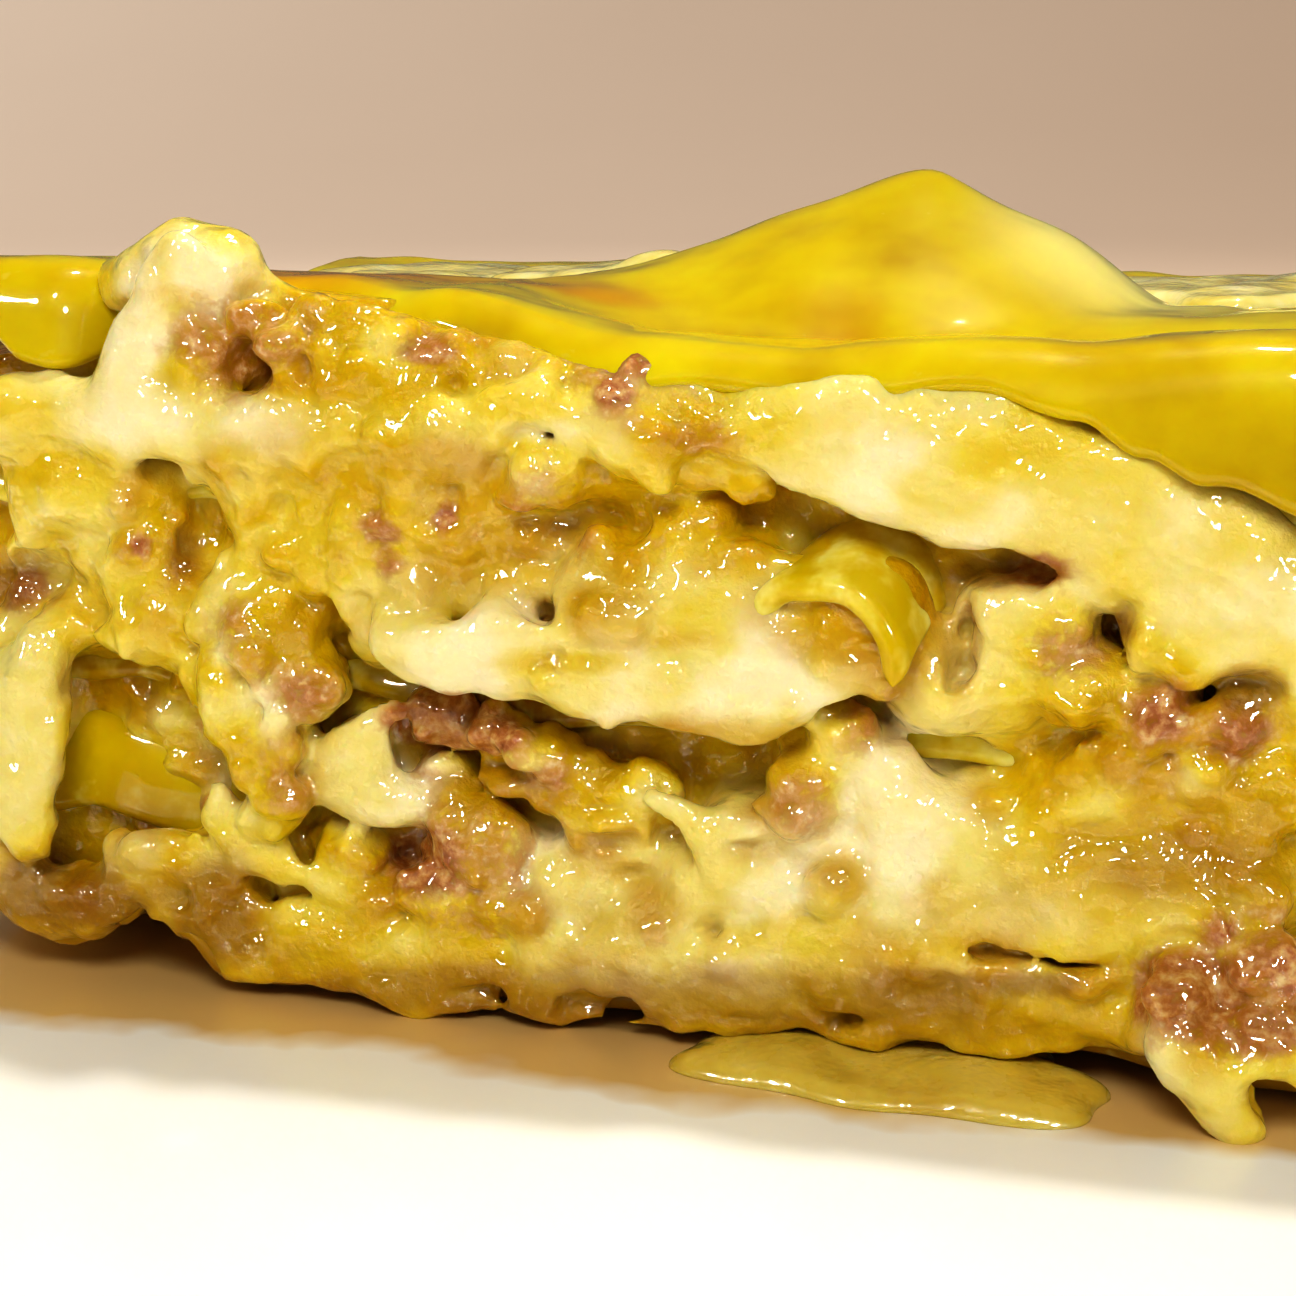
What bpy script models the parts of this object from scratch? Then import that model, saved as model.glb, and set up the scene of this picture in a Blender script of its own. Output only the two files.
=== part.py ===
"""A slice of white lasagne on its plate, at real size: blender --background --python part.py

The slice is a stack of five egg-pasta sheets with four fillings of bechamel and
minced sausage between them. Its cut face looks along -Y, and +X is to the right of
that face. Heights are counted from the well of the plate, WELL_TOP above the table.
"""

import math

import bmesh
import bpy
import numpy as np
from mathutils import Matrix, Vector, noise

MM = 0.001

# Plate: a plain coupe plate on a foot ring
PLATE_RADIUS = 120 * MM
PLATE_HEIGHT = 20 * MM
PLATE_WALL = 4 * MM
WELL_RADIUS = 86 * MM
WELL_TOP = 7 * MM
FOOT_OUTER = 64 * MM
FOOT_INNER = 58 * MM
PLATE_STEPS = 48

# Slice
SLICE_LENGTH = 96 * MM
SLICE_DEPTH = 70 * MM
PASTA = 1.4 * MM
GAP = 0.3 * MM
HALF_X = SLICE_LENGTH / 2
HALF_Y = SLICE_DEPTH / 2

# Each sheet's middle surface, in millimetres: its inner level, its level along the
# front as (x, z) stops, the depth over which the front shape fades into the inner
# level, and how far its front edge hangs down the cut face, as (x, length) stops.
# "out" is where the front edge starts to bend, in front of the cut face.
SHEETS = {
    "pasta_sheet_1": {
        "level": 1.1,
        "front": ((-48, 2.2), (-42, 2.6), (-37, 5.5), (-32, 6.6), (-27, 3.6), (-21, 1.3),
                  (0, 1.5), (12, 1.8), (25, 2.4), (36, 1.2), (48, 1.1)),
        "fade": 13,
        "lip": ((-48, 1.6), (-43, 1.8), (-36, 1), (-30, 2), (-25, 2), (-15, 0.6), (48, 0.6)),
        "out": 0.5,
    },
    "pasta_sheet_2": {
        "level": 11,
        "front": ((-48, 15), (-26, 14.6), (-10, 13), (10, 12), (25, 9.5), (48, 8.5)),
        "fade": 30,
        "lip": ((-48, 6), (-28, 5.5), (-20, 1.5), (10, 1), (30, 2), (48, 2)),
        "out": 0.5,
    },
    "pasta_sheet_3": {
        "level": 21,
        "front": ((-48, 20.5), (-16, 21), (12, 21.3), (25, 20), (38, 18.6), (48, 18)),
        "fade": 30,
        "lip": ((-48, 1), (-20, 1), (-14, 3), (10, 3), (18, 5), (30, 8), (48, 9)),
        "out": 1.5,
    },
    "pasta_sheet_4": {
        "level": 32.5,
        "front": ((-48, 33), (-10, 33), (4, 35.5), (12, 36.8), (24, 36.6), (48, 35.5)),
        "fade": 30,
        "lip": ((-48, 1), (2, 1), (10, 5), (23, 8), (33, 12), (48, 14)),
        "out": 1.0,
    },
    "pasta_sheet_5": {
        "level": 40.2,
        "front": ((-48, 44.6), (-40, 44.8), (-28, 43.8), (-13, 43.1), (0, 40.6), (10, 40.2),
                  (20, 41), (36, 42), (48, 41.4)),
        "fade": 48,
        "lip": ((-48, 6), (-38, 7), (-31, 3), (-26, 1), (-10, 1), (2, 2), (12, 2.6),
                (20, 4.5), (30, 8.5), (48, 11)),
        "out": 2.5,
    },
}
LIP_RADIUS = 3.2 * MM
LIP_TURN = math.radians(78)

# The top sheet stands up in one tent-like fold behind the cut face
FOLD_CENTRE = (9.5 * MM, 2 * MM)
FOLD_LEFT = 17 * MM
FOLD_RIGHT = 12.5 * MM
FOLD_DEEP = 14 * MM
FOLD_HEIGHT = 8.2 * MM

# Lumps that stand out of the cut face, by filling: (x, height, radius, stand-out), in mm
FACE_LUMPS = {
    "filling_1": ((-24, 8, 4.2, 2), (-17, 6.5, 4, 2.5), (-11, 7.5, 4, 2.5), (0, 7.5, 4.5, 1),
                  (10, 7, 4, 1), (20, 6, 3, 1), (29.5, 5, 3.2, 1.5), (36, 5, 3.2, 1.5),
                  (43, 5, 3, 1.5)),
    "filling_2": ((-46, 16, 3.2, 0.6), (-28, 16.5, 4.4, 4), (-24, 18, 3.4, 4), (-17, 17, 3.2, 2),
                  (-8, 16, 3.4, 1.5), (9.5, 16, 2.4, 2.5), (3, 14.5, 2.6, 0.5),
                  (16, 15, 4, 1), (26, 14, 3.6, 1), (37, 13.5, 3.6, 1)),
    "filling_3": ((-43, 27, 3.4, 1), (-35, 28, 3.6, 3.5), (-30, 25, 3.6, 4), (-22, 27, 4.6, 2),
                  (-14, 28.5, 4, 3.5), (-6, 29.5, 4.2, 3.6), (1, 27, 4, 1.5), (22, 27, 3.8, 0.5),
                  (26, 24, 3.8, 1.5), (31, 25, 3.2, 0.5), (34, 22, 3.6, 2.5), (40, 24, 3, 0.5)),
    "filling_4": ((-35, 38, 3.2, 4), (-28.5, 40, 3.4, 2.5), (-24, 38.5, 3.2, 3),
                  (-19, 39, 3, 2.5), (-14, 38, 3, 3), (-8, 37.5, 2.8, 3), (-2, 37.4, 2.4, 2.5),
                  (3, 38, 1.8, 2)),
}
LUMP_SEED = 11
LUMPS_ROUND_THE_BACK = 8
LUMP_RADII = (3.4, 5.2)

# Pieces in front of the face, each a chain of blobs: (x, y, height), (radii), in mm
IN_FRONT = {
    "fallen_mince": (((34.4, -41.2, 3.9), (4.6, 3.1, 3.4)), ((38.6, -40.2, 6.2), (3.8, 3.1, 3.4))),
    "sauce_drip": (((-43.5, -38.2, 20), (2.5, 2, 2.6)), ((-43.1, -38.4, 16.5), (2.1, 1.9, 2.8)),
                   ((-42.7, -38.4, 12.8), (2.1, 1.9, 2.8)), ((-42.3, -38.4, 9), (2.6, 2.2, 2.8))),
}

# A scrap of pasta rolled up at the face
CURL_CENTRE = (13.2 * MM, 27 * MM)
CURL_TURNS = 1.35
CURL_RADII = (1.5 * MM, 4.4 * MM)
CURL_LENGTH = 7.5 * MM
CURL_THICKNESS = 1.1 * MM
CURL_LEAN = math.radians(-24)
CURL_ABOVE_FACE = 2.4 * MM
CURL_STEPS = 22

# Sauce that has run out on the plate in front of the face
POOL_CENTRE = (14 * MM, -38.8 * MM)
POOL_RADII = (12.5 * MM, 5.2 * MM)
POOL_DEPTH = 1.1 * MM
POOL_STEPS = 40

# Melted cheese on top: name, centre (x, y), radii (x, y, z), rise of its middle above
# the middle of the top sheet
CHEESES = (
    ("melted_cheese_knob", (-28, -33), (4.2, 4.6, 3.4), 0.8),
    ("melted_cheese_patch_1", (-15, 9), (8, 11, 2.2), 0.6),
    ("melted_cheese_patch_2", (31, 17), (11, 11, 2.2), 0.6),
    ("melted_cheese_patch_3", (-33, 14), (9, 11, 2.2), 0.6),
)

COLOURS = {
    "porcelain": ((0.86, 0.85, 0.82), 0.15),
    "pasta": ((0.68, 0.47, 0.02), 0.3),
    "filling": ((0.72, 0.52, 0.2), 0.35),
    "cheese": ((0.86, 0.74, 0.42), 0.3),
    "sauce": ((0.85, 0.7, 0.3), 0.2),
}


def clear_scene():
    """Removes what the startup file holds."""
    for obj in list(bpy.data.objects):
        bpy.data.objects.remove(obj)


def new_collection(name, hidden=False):
    """A collection linked to the scene."""
    made = bpy.data.collections.new(name)
    made.hide_render = hidden
    bpy.context.scene.collection.children.link(made)
    return made


def material(name):
    """A Principled material of one colour and roughness."""
    found = bpy.data.materials.get(name)
    if found:
        return found
    colour, roughness = COLOURS[name]
    made = bpy.data.materials.new(name)
    made.use_nodes = True
    shader = made.node_tree.nodes["Principled BSDF"]
    shader.inputs["Base Color"].default_value = (*colour, 1)
    shader.inputs["Roughness"].default_value = roughness
    shader.inputs["Metallic"].default_value = 0
    return made


def add_object(name, mesh, collection, material_name):
    """An object of the mesh, with its material."""
    obj = bpy.data.objects.new(name, mesh)
    collection.objects.link(obj)
    mesh.materials.clear()
    mesh.materials.append(material(material_name))
    return obj


def mesh_from_bmesh(shape, name):
    """The bmesh as a mesh, with its faces pointing out."""
    bmesh.ops.recalc_face_normals(shape, faces=shape.faces)
    mesh = bpy.data.meshes.new(name)
    shape.to_mesh(mesh)
    shape.free()
    return mesh


def applied(obj):
    """Replaces the object's mesh by what its modifiers make of it."""
    graph = bpy.context.evaluated_depsgraph_get()
    graph.update()
    mesh = bpy.data.meshes.new_from_object(obj.evaluated_get(graph))
    obj.modifiers.clear()
    obj.data = mesh
    return obj


def keep_largest_island(obj):
    """Drops the loose scraps that a cut left, and keeps the largest body."""
    shape = bmesh.new()
    shape.from_mesh(obj.data)
    left = set(shape.verts)
    islands = []
    while left:
        edge = [left.pop()]
        island = set(edge)
        while edge:
            vert = edge.pop()
            for link in vert.link_edges:
                other = link.other_vert(vert)
                if other in left:
                    left.discard(other)
                    island.add(other)
                    edge.append(other)
        islands.append(island)
    islands.sort(key=len)
    for island in islands[:-1]:
        bmesh.ops.delete(shape, geom=list(island), context="VERTS")
    shape.to_mesh(obj.data)
    shape.free()


def along(x, stops):
    """The value at x of (x, value) stops in millimetres, eased between them, in metres."""
    x = x / MM
    if x <= stops[0][0]:
        return stops[0][1] * MM
    for (x0, v0), (x1, v1) in zip(stops, stops[1:]):
        if x <= x1:
            t = (x - x0) / (x1 - x0)
            t = t * t * (3 - 2 * t)
            return (v0 + (v1 - v0) * t) * MM
    return stops[-1][1] * MM


def fold_height(x, y):
    """The tent-like fold of the top sheet: a rounded cone, longer to the left."""
    aside = x - FOLD_CENTRE[0]
    aside /= FOLD_LEFT if aside < 0 else FOLD_RIGHT
    away = math.hypot(aside, (y - FOLD_CENTRE[1]) / FOLD_DEEP)
    return FOLD_HEIGHT * math.exp(-away**1.6)


def sheet_height(name, x, y):
    """Height above the well of a sheet's middle surface, away from its hanging edge."""
    sheet = SHEETS[name]
    fade = min(1, max(0, (y + HALF_Y) / (sheet["fade"] * MM)))
    fade = fade * fade * (3 - 2 * fade)
    front = along(x, sheet["front"])
    height = front + (sheet["level"] * MM - front) * fade
    number = int(name[-1])
    if number > 1:
        wave = math.sin(x / (9.5 * MM) + 1.7 * number) + math.cos(y / (8 * MM) - number)
        height += 0.45 * MM * wave * fade
    if number == 5:
        height += fold_height(x, y)
    return height


def sheet_edge(number, turn):
    """How far a sheet's outline wanders in or out at this place round the slice."""
    return 1.1 * MM * noise.noise(Vector((2.6 * math.cos(turn), 2.6 * math.sin(turn), number * 5.3)))


def sheet_point(name, u, v, grow):
    """A point of a sheet's middle surface: u runs along X, and v from the back to the
    front, where its last third bends round LIP_RADIUS and hangs down the face."""
    sheet = SHEETS[name]
    number = int(name[-1])
    wander = sheet_edge(number, math.atan2(v, u))
    x = u * (HALF_X + wander + grow)
    bend = -HALF_Y - sheet["out"] * MM + LIP_RADIUS
    back = HALF_Y + wander + grow
    lip_share = -0.3
    if v >= lip_share:
        y = bend + (back - bend) * (v - lip_share) / (1 - lip_share)
        return Vector((x, y, WELL_TOP + sheet_height(name, x, y)))
    length = (LIP_RADIUS + along(x, sheet["lip"]) + grow) * (lip_share - v) / (1 + lip_share)
    turn = 0 if number == 1 else min(length / LIP_RADIUS, LIP_TURN)
    rest = length - turn * LIP_RADIUS
    y = bend - LIP_RADIUS * math.sin(turn) - rest * math.cos(turn)
    z = sheet_height(name, x, bend) - LIP_RADIUS * (1 - math.cos(turn)) - rest * math.sin(turn)
    return Vector((x, y, WELL_TOP + z))


def sheet_mesh(name, grow=0.0):
    """The sheet's middle surface, bent out of a flat grid."""
    columns, rows = {"pasta_sheet_1": (15, 8), "pasta_sheet_5": (25, 14)}.get(name, (17, 10))
    shape = bmesh.new()
    bmesh.ops.create_grid(shape, x_segments=columns, y_segments=rows, size=1)
    for vert in shape.verts:
        vert.co = sheet_point(name, vert.co.x, vert.co.y, grow)
    mesh = bpy.data.meshes.new(name)
    shape.to_mesh(mesh)
    shape.free()
    return mesh


def thicken(obj, thickness):
    """Gives a surface its thickness, half to each side."""
    solidify = obj.modifiers.new("thickness", "SOLIDIFY")
    solidify.thickness = thickness
    solidify.offset = 0
    solidify.use_even_offset = False
    return obj


def make_sheet(name, part):
    """One sheet of pasta."""
    return thicken(add_object(name, sheet_mesh(name), part, "pasta"), PASTA)


def sheet_cutter(name, helpers):
    """The sheet grown by GAP all round, to cut its bed in a neighbour."""
    cutter = add_object("cut_" + name, sheet_mesh(name, GAP), helpers, "pasta")
    thicken(cutter, PASTA + 2 * GAP)
    applied(cutter)
    return as_helper(cutter)


def as_helper(obj):
    """Marks a cutter, which is no part of the model."""
    obj.hide_render = True
    obj.display_type = "WIRE"
    return obj


def slab_point(low, high, corner):
    """A corner of a subdivided cube, carried to the space between two sheets. Its
    sides bulge between the sheets and wander with noise."""
    u, v, w = corner
    wander = 1.3 * MM * noise.noise(Vector((u * 5, v * 4, w + int(low[-1]) * 7.1)))
    bulge = 0.8 * MM * (1 - w * w)
    inset = 1.6 * MM - bulge - wander
    x = u * (HALF_X - inset)
    y = v * (HALF_Y - inset)
    z_low = sheet_height(low, x, y)
    z_high = sheet_height(high, x, y)
    return Vector((x, y, WELL_TOP + z_low + (z_high - z_low) * (w + 1) / 2))


def make_slab(name, low, high, part):
    """The core of a filling, from the middle of one sheet to the middle of the next."""
    shape = bmesh.new()
    columns, rows, storeys = 16, 12, 2
    bmesh.ops.create_cube(shape, size=2)
    for axis, count in enumerate((columns, rows, storeys)):
        for step in range(1, count):
            plane = [0, 0, 0]
            plane[axis] = 1
            at = [0, 0, 0]
            at[axis] = 2 * step / count - 1
            everything = shape.verts[:] + shape.edges[:] + shape.faces[:]
            bmesh.ops.bisect_plane(shape, geom=everything, plane_co=at, plane_no=plane)
    for vert in shape.verts:
        vert.co = slab_point(low, high, vert.co.copy())
    return add_object(name, mesh_from_bmesh(shape, name), part, "filling")


def band(low, high, x, y):
    """The clear heights between two sheets at a place, kept inside the slice."""
    x = max(-HALF_X, min(HALF_X, x))
    y = max(-HALF_Y, min(HALF_Y, y))
    edge = PASTA / 2 + GAP
    return sheet_height(low, x, y) + edge, sheet_height(high, x, y) - edge


def make_lump(centre, radii, seed, helpers):
    """One lump of mince: a sphere with a craggy skin."""
    shape = bmesh.new()
    bmesh.ops.create_icosphere(shape, subdivisions=1, radius=1)
    for vert in shape.verts:
        crag = 1 + 0.28 * noise.noise(vert.co * 1.8 + Vector((seed * 3.7, 0, 0)))
        vert.co = Vector(c + r * d * crag for c, r, d in zip(centre, radii, vert.co))
    mesh = mesh_from_bmesh(shape, "lump")
    return as_helper(add_object("lump", mesh, helpers, "filling"))


def face_lumps(name, low, high, helpers):
    """The lumps that the cut face shows, each inside its own layer."""
    for number, (x, height, radius, out) in enumerate(FACE_LUMPS[name]):
        x, radius = x * MM, radius * MM
        y = -HALF_Y + radius - out * MM
        floor, ceiling = band(low, high, x, -HALF_Y)
        tall = min(radius, (ceiling - floor) / 2)
        z = min(max(height * MM, floor + tall), ceiling - tall)
        make_lump((x, y, WELL_TOP + z), (radius, radius, tall), number, helpers)


def back_lumps(low, high, helpers, draw):
    """Lumps at the two ends and the back, evenly spread with a seeded draw."""
    path = 2 * SLICE_DEPTH + SLICE_LENGTH
    for number in range(LUMPS_ROUND_THE_BACK):
        at = (number + draw.uniform(0.2, 0.8)) * path / LUMPS_ROUND_THE_BACK
        radius = draw.uniform(*LUMP_RADII) * MM
        inside = radius - draw.uniform(0.6, 1.5) * MM
        if at < SLICE_DEPTH:
            x, y = HALF_X - inside, -HALF_Y + at
        elif at < SLICE_DEPTH + SLICE_LENGTH:
            x, y = HALF_X - (at - SLICE_DEPTH), HALF_Y - inside
        else:
            x, y = -HALF_X + inside, HALF_Y - (at - SLICE_DEPTH - SLICE_LENGTH)
        x = max(-HALF_X + inside, min(HALF_X - inside, x))
        y = max(-HALF_Y + radius, min(HALF_Y - inside, y))
        floor, ceiling = band(low, high, x, y)
        tall = min(radius, (ceiling - floor) / 2)
        z = floor + tall + draw.uniform(0, 1) * (ceiling - floor - 2 * tall)
        make_lump((x, y, WELL_TOP + z), (radius, radius, tall), 20 + number, helpers)


def make_in_front(name, part, helpers, cutters):
    """A piece in front of the face: its blobs made one, cut clear of the slice."""
    blobs = []
    for number, (centre, radii) in enumerate(IN_FRONT[name]):
        place = [value * MM for value in centre]
        place[2] += WELL_TOP
        blobs.append(make_lump(place, [value * MM for value in radii], 70 + number, helpers))
    piece = blobs[0]
    for other in blobs[1:]:
        boolean(piece, "UNION", other)
    for cutter in cutters:
        boolean(piece, "DIFFERENCE", cutter)
    keep_largest_island(piece)
    piece.name = name
    helpers.objects.unlink(piece)
    part.objects.link(piece)
    piece.hide_render = False
    piece.display_type = "TEXTURED"


def boolean(obj, operation, operand):
    """Joins or cuts with an object or a whole collection, and applies it."""
    modifier = obj.modifiers.new(operation.lower(), "BOOLEAN")
    modifier.operation = operation
    modifier.solver = "MANIFOLD"
    if isinstance(operand, bpy.types.Collection):
        modifier.operand_type = "COLLECTION"
        modifier.collection = operand
    else:
        modifier.object = operand
    return applied(obj)


def make_filling(name, low, high, part, cutters, draw):
    """A filling: its core with the lumps fused on, cut clear of the sheets."""
    slab = make_slab(name, low, high, part)
    lumps = new_collection("lumps of " + name)
    face_lumps(name, low, high, lumps)
    back_lumps(low, high, lumps, draw)
    boolean(slab, "UNION", lumps)
    for lump in list(lumps.objects):
        bpy.data.objects.remove(lump)
    bpy.data.collections.remove(lumps)
    for cutter in cutters:
        boolean(slab, "DIFFERENCE", cutter)
    keep_largest_island(slab)
    return slab


def curl_mesh(grow):
    """A strip rolled into a spiral whose radius widens with its turn, longer than it
    is wide, leaning in the face."""
    shape = bmesh.new()
    rows = 4
    bmesh.ops.create_grid(shape, x_segments=CURL_STEPS, y_segments=rows, size=1)
    lean = Matrix.Rotation(CURL_LEAN, 4, "Y")
    for vert in shape.verts:
        t, across = (vert.co.x + 1) / 2, vert.co.y
        turn = 2 * math.pi * CURL_TURNS * t
        radius = CURL_RADII[0] + (CURL_RADII[1] - CURL_RADII[0]) * t
        flare = 1 - 0.18 * across
        local = Vector((
            radius * flare * math.cos(turn),
            across * (CURL_LENGTH / 2 + grow),
            radius * flare * math.sin(turn),
        ))
        place = Vector((CURL_CENTRE[0], -HALF_Y - CURL_ABOVE_FACE, WELL_TOP + CURL_CENTRE[1]))
        vert.co = lean @ local + place
    mesh = bpy.data.meshes.new("pasta_curl")
    shape.to_mesh(mesh)
    shape.free()
    return mesh


def make_curl(part, cutters):
    """The rolled scrap of pasta, cut clear of the sheet above it."""
    curl = thicken(add_object("pasta_curl", curl_mesh(0), part, "pasta"), CURL_THICKNESS)
    applied(curl)
    for cutter in cutters:
        boolean(curl, "DIFFERENCE", cutter)
    keep_largest_island(curl)
    return curl


def curl_cutter(helpers):
    """A plug round the curl, which clears its bed in the filling."""
    shape = bmesh.new()
    widest = CURL_RADII[1] * 1.18 + CURL_THICKNESS / 2 + GAP
    bmesh.ops.create_cone(
        shape, cap_ends=True, segments=20, radius1=widest, radius2=widest,
        depth=CURL_LENGTH + 2 * GAP,
    )
    turn = Matrix.Rotation(CURL_LEAN, 4, "Y") @ Matrix.Rotation(math.pi / 2, 4, "X")
    place = Vector((CURL_CENTRE[0], -HALF_Y - CURL_ABOVE_FACE, WELL_TOP + CURL_CENTRE[1]))
    shape.transform(Matrix.Translation(place) @ turn)
    mesh = mesh_from_bmesh(shape, "cut_curl")
    return as_helper(add_object("cut_curl", mesh, helpers, "pasta"))


def plate_profile():
    """Half of the plate's section, from the middle of the well over the rim and the
    foot ring to the middle of the underside."""
    edge = PLATE_WALL / 4
    wall_run = PLATE_RADIUS - edge - WELL_RADIUS
    wall_rise = PLATE_HEIGHT - WELL_TOP
    points = [(0, WELL_TOP), (WELL_RADIUS * 0.6, WELL_TOP), (WELL_RADIUS, WELL_TOP)]
    for step in range(1, 7):
        t = step / 6
        points.append((WELL_RADIUS + wall_run * t, WELL_TOP + wall_rise * t**1.8))
    for step in range(1, 4):
        turn = math.pi * step / 4
        points.append((
            PLATE_RADIUS - edge + edge * math.sin(turn),
            PLATE_HEIGHT - edge * (1 - math.cos(turn)),
        ))
    for step in range(5, -1, -1):
        t = step / 6
        points.append((WELL_RADIUS + wall_run * t, WELL_TOP - PLATE_WALL + wall_rise * t**1.8))
    points += [
        (FOOT_OUTER + 3 * MM, WELL_TOP - PLATE_WALL),
        (FOOT_OUTER, 0),
        (FOOT_INNER, 0),
        (FOOT_INNER - 2 * MM, WELL_TOP - PLATE_WALL),
        (0, WELL_TOP - PLATE_WALL),
    ]
    return points


def make_plate(part):
    """The plate: its section turned about Z."""
    shape = bmesh.new()
    verts = [shape.verts.new((x, 0, z)) for x, z in plate_profile()]
    for first, second in zip(verts, verts[1:]):
        shape.edges.new((first, second))
    mesh = bpy.data.meshes.new("plate")
    shape.to_mesh(mesh)
    shape.free()
    plate = add_object("plate", mesh, part, "porcelain")
    screw = plate.modifiers.new("turn", "SCREW")
    screw.steps = screw.render_steps = PLATE_STEPS
    screw.use_merge_vertices = True
    screw.merge_threshold = 0.00001
    screw.use_normal_calculate = True
    screw.use_smooth_shade = True
    return plate


def make_pool(part, cutters):
    """The sauce on the plate: a flat drop whose outline wanders, with a round brim."""
    shape = bmesh.new()
    bmesh.ops.create_cone(
        shape, cap_ends=True, cap_tris=True, segments=POOL_STEPS, radius1=1, radius2=0.86, depth=1
    )
    for vert in shape.verts:
        turn = math.atan2(vert.co.y, vert.co.x)
        wander = 1 + 0.16 * math.sin(3 * turn + 0.6) + 0.07 * math.sin(7 * turn)
        vert.co = Vector((
            POOL_CENTRE[0] + POOL_RADII[0] * wander * vert.co.x,
            POOL_CENTRE[1] + POOL_RADII[1] * wander * vert.co.y,
            WELL_TOP + GAP + POOL_DEPTH * (vert.co.z + 0.5),
        ))
    pool = add_object("sauce_pool", mesh_from_bmesh(shape, "sauce_pool"), part, "sauce")
    for cutter in cutters:
        boolean(pool, "DIFFERENCE", cutter)
    keep_largest_island(pool)
    return pool


def front_block(helpers):
    """A block that holds the foot of the slice, to keep the pool in front of it."""
    shape = bmesh.new()
    bmesh.ops.create_cube(shape, size=1)
    front = HALF_Y + 1.6 * MM
    for vert in shape.verts:
        vert.co = Vector((vert.co.x * SLICE_LENGTH * 1.2, vert.co.y * 2 * front, vert.co.z * 60 * MM))
    mesh = mesh_from_bmesh(shape, "cut_block")
    return as_helper(add_object("cut_block", mesh, helpers, "sauce"))


def make_cheese(name, centre, radii, rise, part, cutters):
    """Melted cheese on the top sheet: a flat drop, less what the sheet takes up."""
    shape = bmesh.new()
    bmesh.ops.create_icosphere(shape, subdivisions=2, radius=1)
    x, y = centre[0] * MM, centre[1] * MM
    for vert in shape.verts:
        ooze = 1 + 0.3 * noise.noise(Vector((vert.co.x * 1.6, vert.co.y * 1.6, centre[0])))
        px = x + radii[0] * MM * vert.co.x * ooze
        py = y + radii[1] * MM * vert.co.y * ooze
        top = sheet_height("pasta_sheet_5", px, max(py, -HALF_Y))
        vert.co = Vector((px, py, WELL_TOP + top + (rise + radii[2] * vert.co.z) * MM))
    cheese = add_object(name, mesh_from_bmesh(shape, name), part, "cheese")
    for cutter in cutters:
        boolean(cheese, "DIFFERENCE", cutter)
    keep_highest_island(cheese)
    return cheese


def keep_highest_island(obj):
    """Keeps the body that reaches highest, as the part of a drop below a sheet goes."""
    shape = bmesh.new()
    shape.from_mesh(obj.data)
    top = max(shape.verts, key=lambda vert: vert.co.z)
    island, edge = {top}, [top]
    while edge:
        vert = edge.pop()
        for link in vert.link_edges:
            other = link.other_vert(vert)
            if other not in island:
                island.add(other)
                edge.append(other)
    rest = [vert for vert in shape.verts if vert not in island]
    bmesh.ops.delete(shape, geom=rest, context="VERTS")
    shape.to_mesh(obj.data)
    shape.free()


def main():
    clear_scene()
    part = new_collection("lasagne_slice")
    helpers = new_collection("cutters", hidden=True)
    draw = np.random.default_rng(LUMP_SEED)
    names = list(SHEETS)
    make_plate(part)
    sheet_cutters = {name: sheet_cutter(name, helpers) for name in names}
    curl_bed = curl_cutter(helpers)
    for name in names:
        make_sheet(name, part)
    make_curl(part, [sheet_cutters["pasta_sheet_4"], sheet_cutters["pasta_sheet_3"]])
    for number, (low, high) in enumerate(zip(names, names[1:]), start=1):
        cutters = list(sheet_cutters.values())
        if number >= 2:
            cutters.append(curl_bed)
        make_filling(f"filling_{number}", low, high, part, cutters, draw)
    block = front_block(helpers)
    make_pool(part, [block])
    for name in IN_FRONT:
        make_in_front(name, part, helpers, [block, *sheet_cutters.values()])
    for name, centre, radii, rise in CHEESES:
        make_cheese(name, centre, radii, rise, part, [sheet_cutters["pasta_sheet_5"]])
    for helper in list(helpers.objects):
        bpy.data.objects.remove(helper)
    bpy.data.collections.remove(helpers)


main()
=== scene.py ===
"""Dressed model of a slice of white lasagne on its plate, in the frame of its CAD.

Lengths inside the functions are millimetres, and heights count from the well of the
plate, until mesh_object turns them to metres. The shown cut face looks along -Y.
"""

import bpy
import numpy as np
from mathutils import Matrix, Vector


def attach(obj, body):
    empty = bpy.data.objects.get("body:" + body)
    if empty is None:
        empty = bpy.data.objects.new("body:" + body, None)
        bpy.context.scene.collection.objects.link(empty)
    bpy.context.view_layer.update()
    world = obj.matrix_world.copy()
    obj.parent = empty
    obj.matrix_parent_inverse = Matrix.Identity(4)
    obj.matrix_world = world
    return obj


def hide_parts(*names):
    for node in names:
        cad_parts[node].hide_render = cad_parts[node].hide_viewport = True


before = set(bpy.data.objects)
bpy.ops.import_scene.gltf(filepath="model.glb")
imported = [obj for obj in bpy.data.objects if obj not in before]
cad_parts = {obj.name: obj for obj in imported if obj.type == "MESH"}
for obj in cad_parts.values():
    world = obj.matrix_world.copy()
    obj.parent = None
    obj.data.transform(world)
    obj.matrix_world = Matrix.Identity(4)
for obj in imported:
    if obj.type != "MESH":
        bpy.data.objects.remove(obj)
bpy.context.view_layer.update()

WELL_TOP = 7.0
HALF_X, HALF_Y = 48.0, 35.0
PASTA = 1.4
LIP_RADIUS = 3.2
LIP_TURN = np.radians(78)

# The photograph's camera: where it stands, in mm above the table, and how it looks.
# PHOTO_FOCAL is its focal length in pixels of the 1296-pixel frame.
CAMERA = np.array([39.1, -165.7, 62.0])
AZIMUTH, PITCH = np.radians(16.5), np.radians(13.0)
PHOTO_SIZE, PHOTO_FOCAL = 1296, 2400.0

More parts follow.
